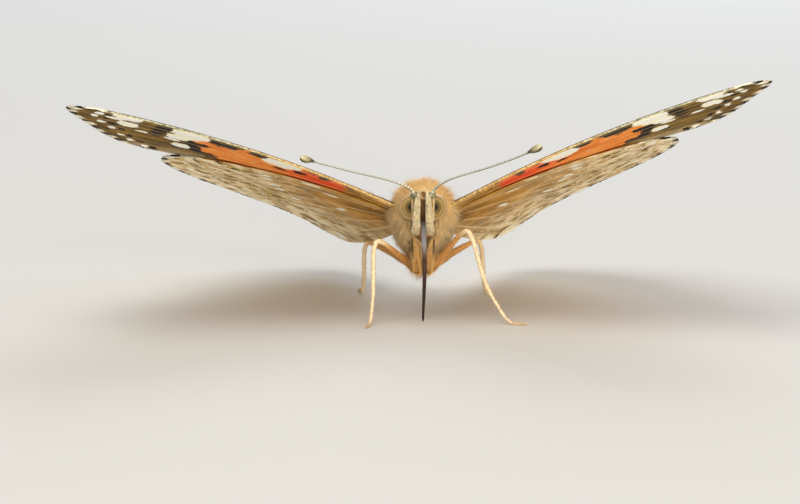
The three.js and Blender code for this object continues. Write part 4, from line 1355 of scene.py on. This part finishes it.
def leg_coat(name, walking, share, path, radius, tube, seed):
    """Scales that lie along the leg. A walking leg is golden on the thigh and pale beyond the knee. A foreleg
    is longer furred, and painted dark along its outer side, painted shade in the gap beside the cheek."""
    rng = np.random.default_rng(seed)
    count = 2600 if walking else 7000
    density = 1 - 0.8 * ease(share, 0.36, 0.44) if walking else 0 * share + 1
    density = np.broadcast_to(density[:, None], (LEG_RINGS, LEG_AROUND))
    root, normal, along, flat, cell = scatter(tube, count, seed, density)
    normal = outward(normal, root, path[cell[0]])
    heading = unit(normal * (0.4 if walking else 0.55) + along + rng.normal(size=root.shape) * 0.15)
    out = share[cell[0]]
    reach = steps(out, [(0, 0.4), (0.2, 0.26), (0.36, 0.12), (1, 0.09)]) if walking else 0.3
    reach = clear_of_floor(reach * rng.uniform(0.7, 1.2, count), root, heading)
    if walking:
        look = CREAM_FUR
        pale, gold = 0.5 * ease(out, 0.34, 0.44), 1 - ease(out, 0.3, 0.42)
        zones = {"paleness": pale, "goldness": gold, "dark_and_shade": 0.0}
    else:
        look = WARM_FUR
        # painted shade: the outer side of a foreleg's fur is darkened where it meets the cheek
        outer = (np.abs(root[:, 0]) - np.abs(path[cell[0], 0])) / radius[cell[0]]
        line = 1.1 * ease(outer, 0.25, 0.6) * ease(root[:, 2], 4.5, 5.6)
        zones = {"paleness": 0.0, "goldness": 0.45 * (1 - ease(root[:, 2], 4.0, 6.4)), "dark_and_shade": line}
    tufts(f"{name}_coat", root, heading, reach, 0.016, look, flat, zones, seed=seed)


def leg_spines(name, share, path, tube, seed):
    """A double row of spines below the shin and the foot, turned outward and forward."""
    number = np.arange(LEG_SPINES)
    at = np.linspace(0.47, 0.95, LEG_SPINES)
    row = np.interp(at, share, np.arange(LEG_RINGS)).astype(int)
    base = tube[row, np.where(number % 2 == 0, 3, 9) + 12 * (number % 4 > 1)]
    along = unit(np.gradient(path, axis=0))[row]
    heading = unit(unit(base - path[row]) * 0.8 + along * 0.7)
    spots = np.stack([at, np.linspace(0.02, 0.95, LEG_SPINES)], -1)
    reach = clear_of_floor(0.2, base, heading)
    tufts(f"{name}_spines", base, heading, reach, 0.022, SPINE_LOOK, spots, {}, flat=1.0, seed=seed)


share = np.linspace(0, 1, LEG_RINGS)
for k, name in enumerate(LEGS):
    walking = not name.startswith("fore")
    path, radius, tube = leg_tube(name, walking, share)
    leg_coat(name, walking, share, path, radius, tube, 60 + k)
    if walking:
        leg_spines(name, share, path, tube, 90 + k)

# %% [markdown]
# ## Floor and light
# The floor is a plain sheet, so that nothing draws the eye from the animal. The light is soft and comes from
# the sky and a little from the front, as on a bright overcast day.

# %% Floor
FLOOR_HALF = 3.0
FLOOR_LOOK = Look("floor", 0.85, **{"Base Color": paint("#d4d4d0")})
corners = FLOOR_HALF * np.array([[-1, -1, 0], [1, -1, 0], [1, 1, 0], [-1, 1, 0]])
mesh = bpy.data.meshes.new("floor")
mesh.from_pydata(corners.tolist(), [], [(0, 1, 2, 3)])
mesh.materials.append(FLOOR_LOOK.material)
floor = bpy.data.objects.new("floor", mesh)
bpy.context.scene.collection.objects.link(floor)


# %% Lights
def aim(thing, place, target):
    """Sets a light or camera at place so that it looks at target, with its top up."""
    back = unit(np.asarray(place, float) - np.asarray(target, float))
    right = unit(np.cross([0, 0, 1.0], back))
    top = np.cross(back, right)
    matrix = np.eye(4)
    matrix[:3, 0], matrix[:3, 1], matrix[:3, 2], matrix[:3, 3] = right, top, back, place
    thing.matrix_world = Matrix(matrix.tolist())


def soft_light(name, place, size, power, color):
    """A square lamp that looks at the butterfly."""
    lamp = bpy.data.lights.new(name, "AREA")
    lamp.shape = "SQUARE"
    lamp.size = size
    lamp.energy = power
    lamp.color = paint(color)[:3]
    thing = bpy.data.objects.new(name, lamp)
    bpy.context.scene.collection.objects.link(thing)
    aim(thing, place, HEAD * MM)


soft_light("sky_light", (-0.15, -0.1, 0.5), 0.5, 1.7, "#fff6e8")
soft_light("front_light", (0.12, -0.5, 0.035), 0.35, 4.4, "#ffefd8")
soft_light("back_light", (0.1, 0.5, 0.3), 0.3, 1.3, "#eef4ff")
world = bpy.data.worlds.new("studio")
world.use_nodes = True
background = world.node_tree.nodes["Background"]
background.inputs[0].default_value = (0.92, 0.94, 1.0, 1.0)
background.inputs[1].default_value = 0.42
bpy.context.scene.world = world
bpy.context.scene.view_settings.view_transform = "Standard"

# %% [markdown]
# ## Camera
# The camera stands about 27 centimetres from the face, 8 degrees above it, through a long lens, which keeps
# the wings from growing towards it. It is shifted so that the face falls a little right of and above the
# picture's middle, as in the photograph.

# %% Camera
PIXELS_PER_MM = 13.0
FACE_PIXEL = (423.0, 207.0)
PICTURE = (800.0, 504.0)
DISTANCE = 270.0
ELEVATION = np.radians(8.0)
face = HEAD + SHIFT
eye_point = face + DISTANCE * np.array([0, -np.cos(ELEVATION), np.sin(ELEVATION)])
right_by = (FACE_PIXEL[0] - PICTURE[0] / 2) / PIXELS_PER_MM
up_by = (PICTURE[1] / 2 - FACE_PIXEL[1]) / PIXELS_PER_MM
up_axis = np.array([0, np.sin(ELEVATION), np.cos(ELEVATION)])
target = face - np.array([1.0, 0, 0]) * right_by - up_axis * up_by
camera = bpy.data.cameras.new("camera")
camera.sensor_width = 36.0
camera.lens = camera.sensor_width * DISTANCE / (PICTURE[0] / PIXELS_PER_MM)
camera.clip_start = 0.01
camera.clip_end = 20.0
viewer = bpy.data.objects.new("camera", camera)
bpy.context.scene.collection.objects.link(viewer)
aim(viewer, eye_point * MM, target * MM)
bpy.context.scene.camera = viewer
print("camera at", (eye_point * MM).round(4), "lens", round(camera.lens, 1))
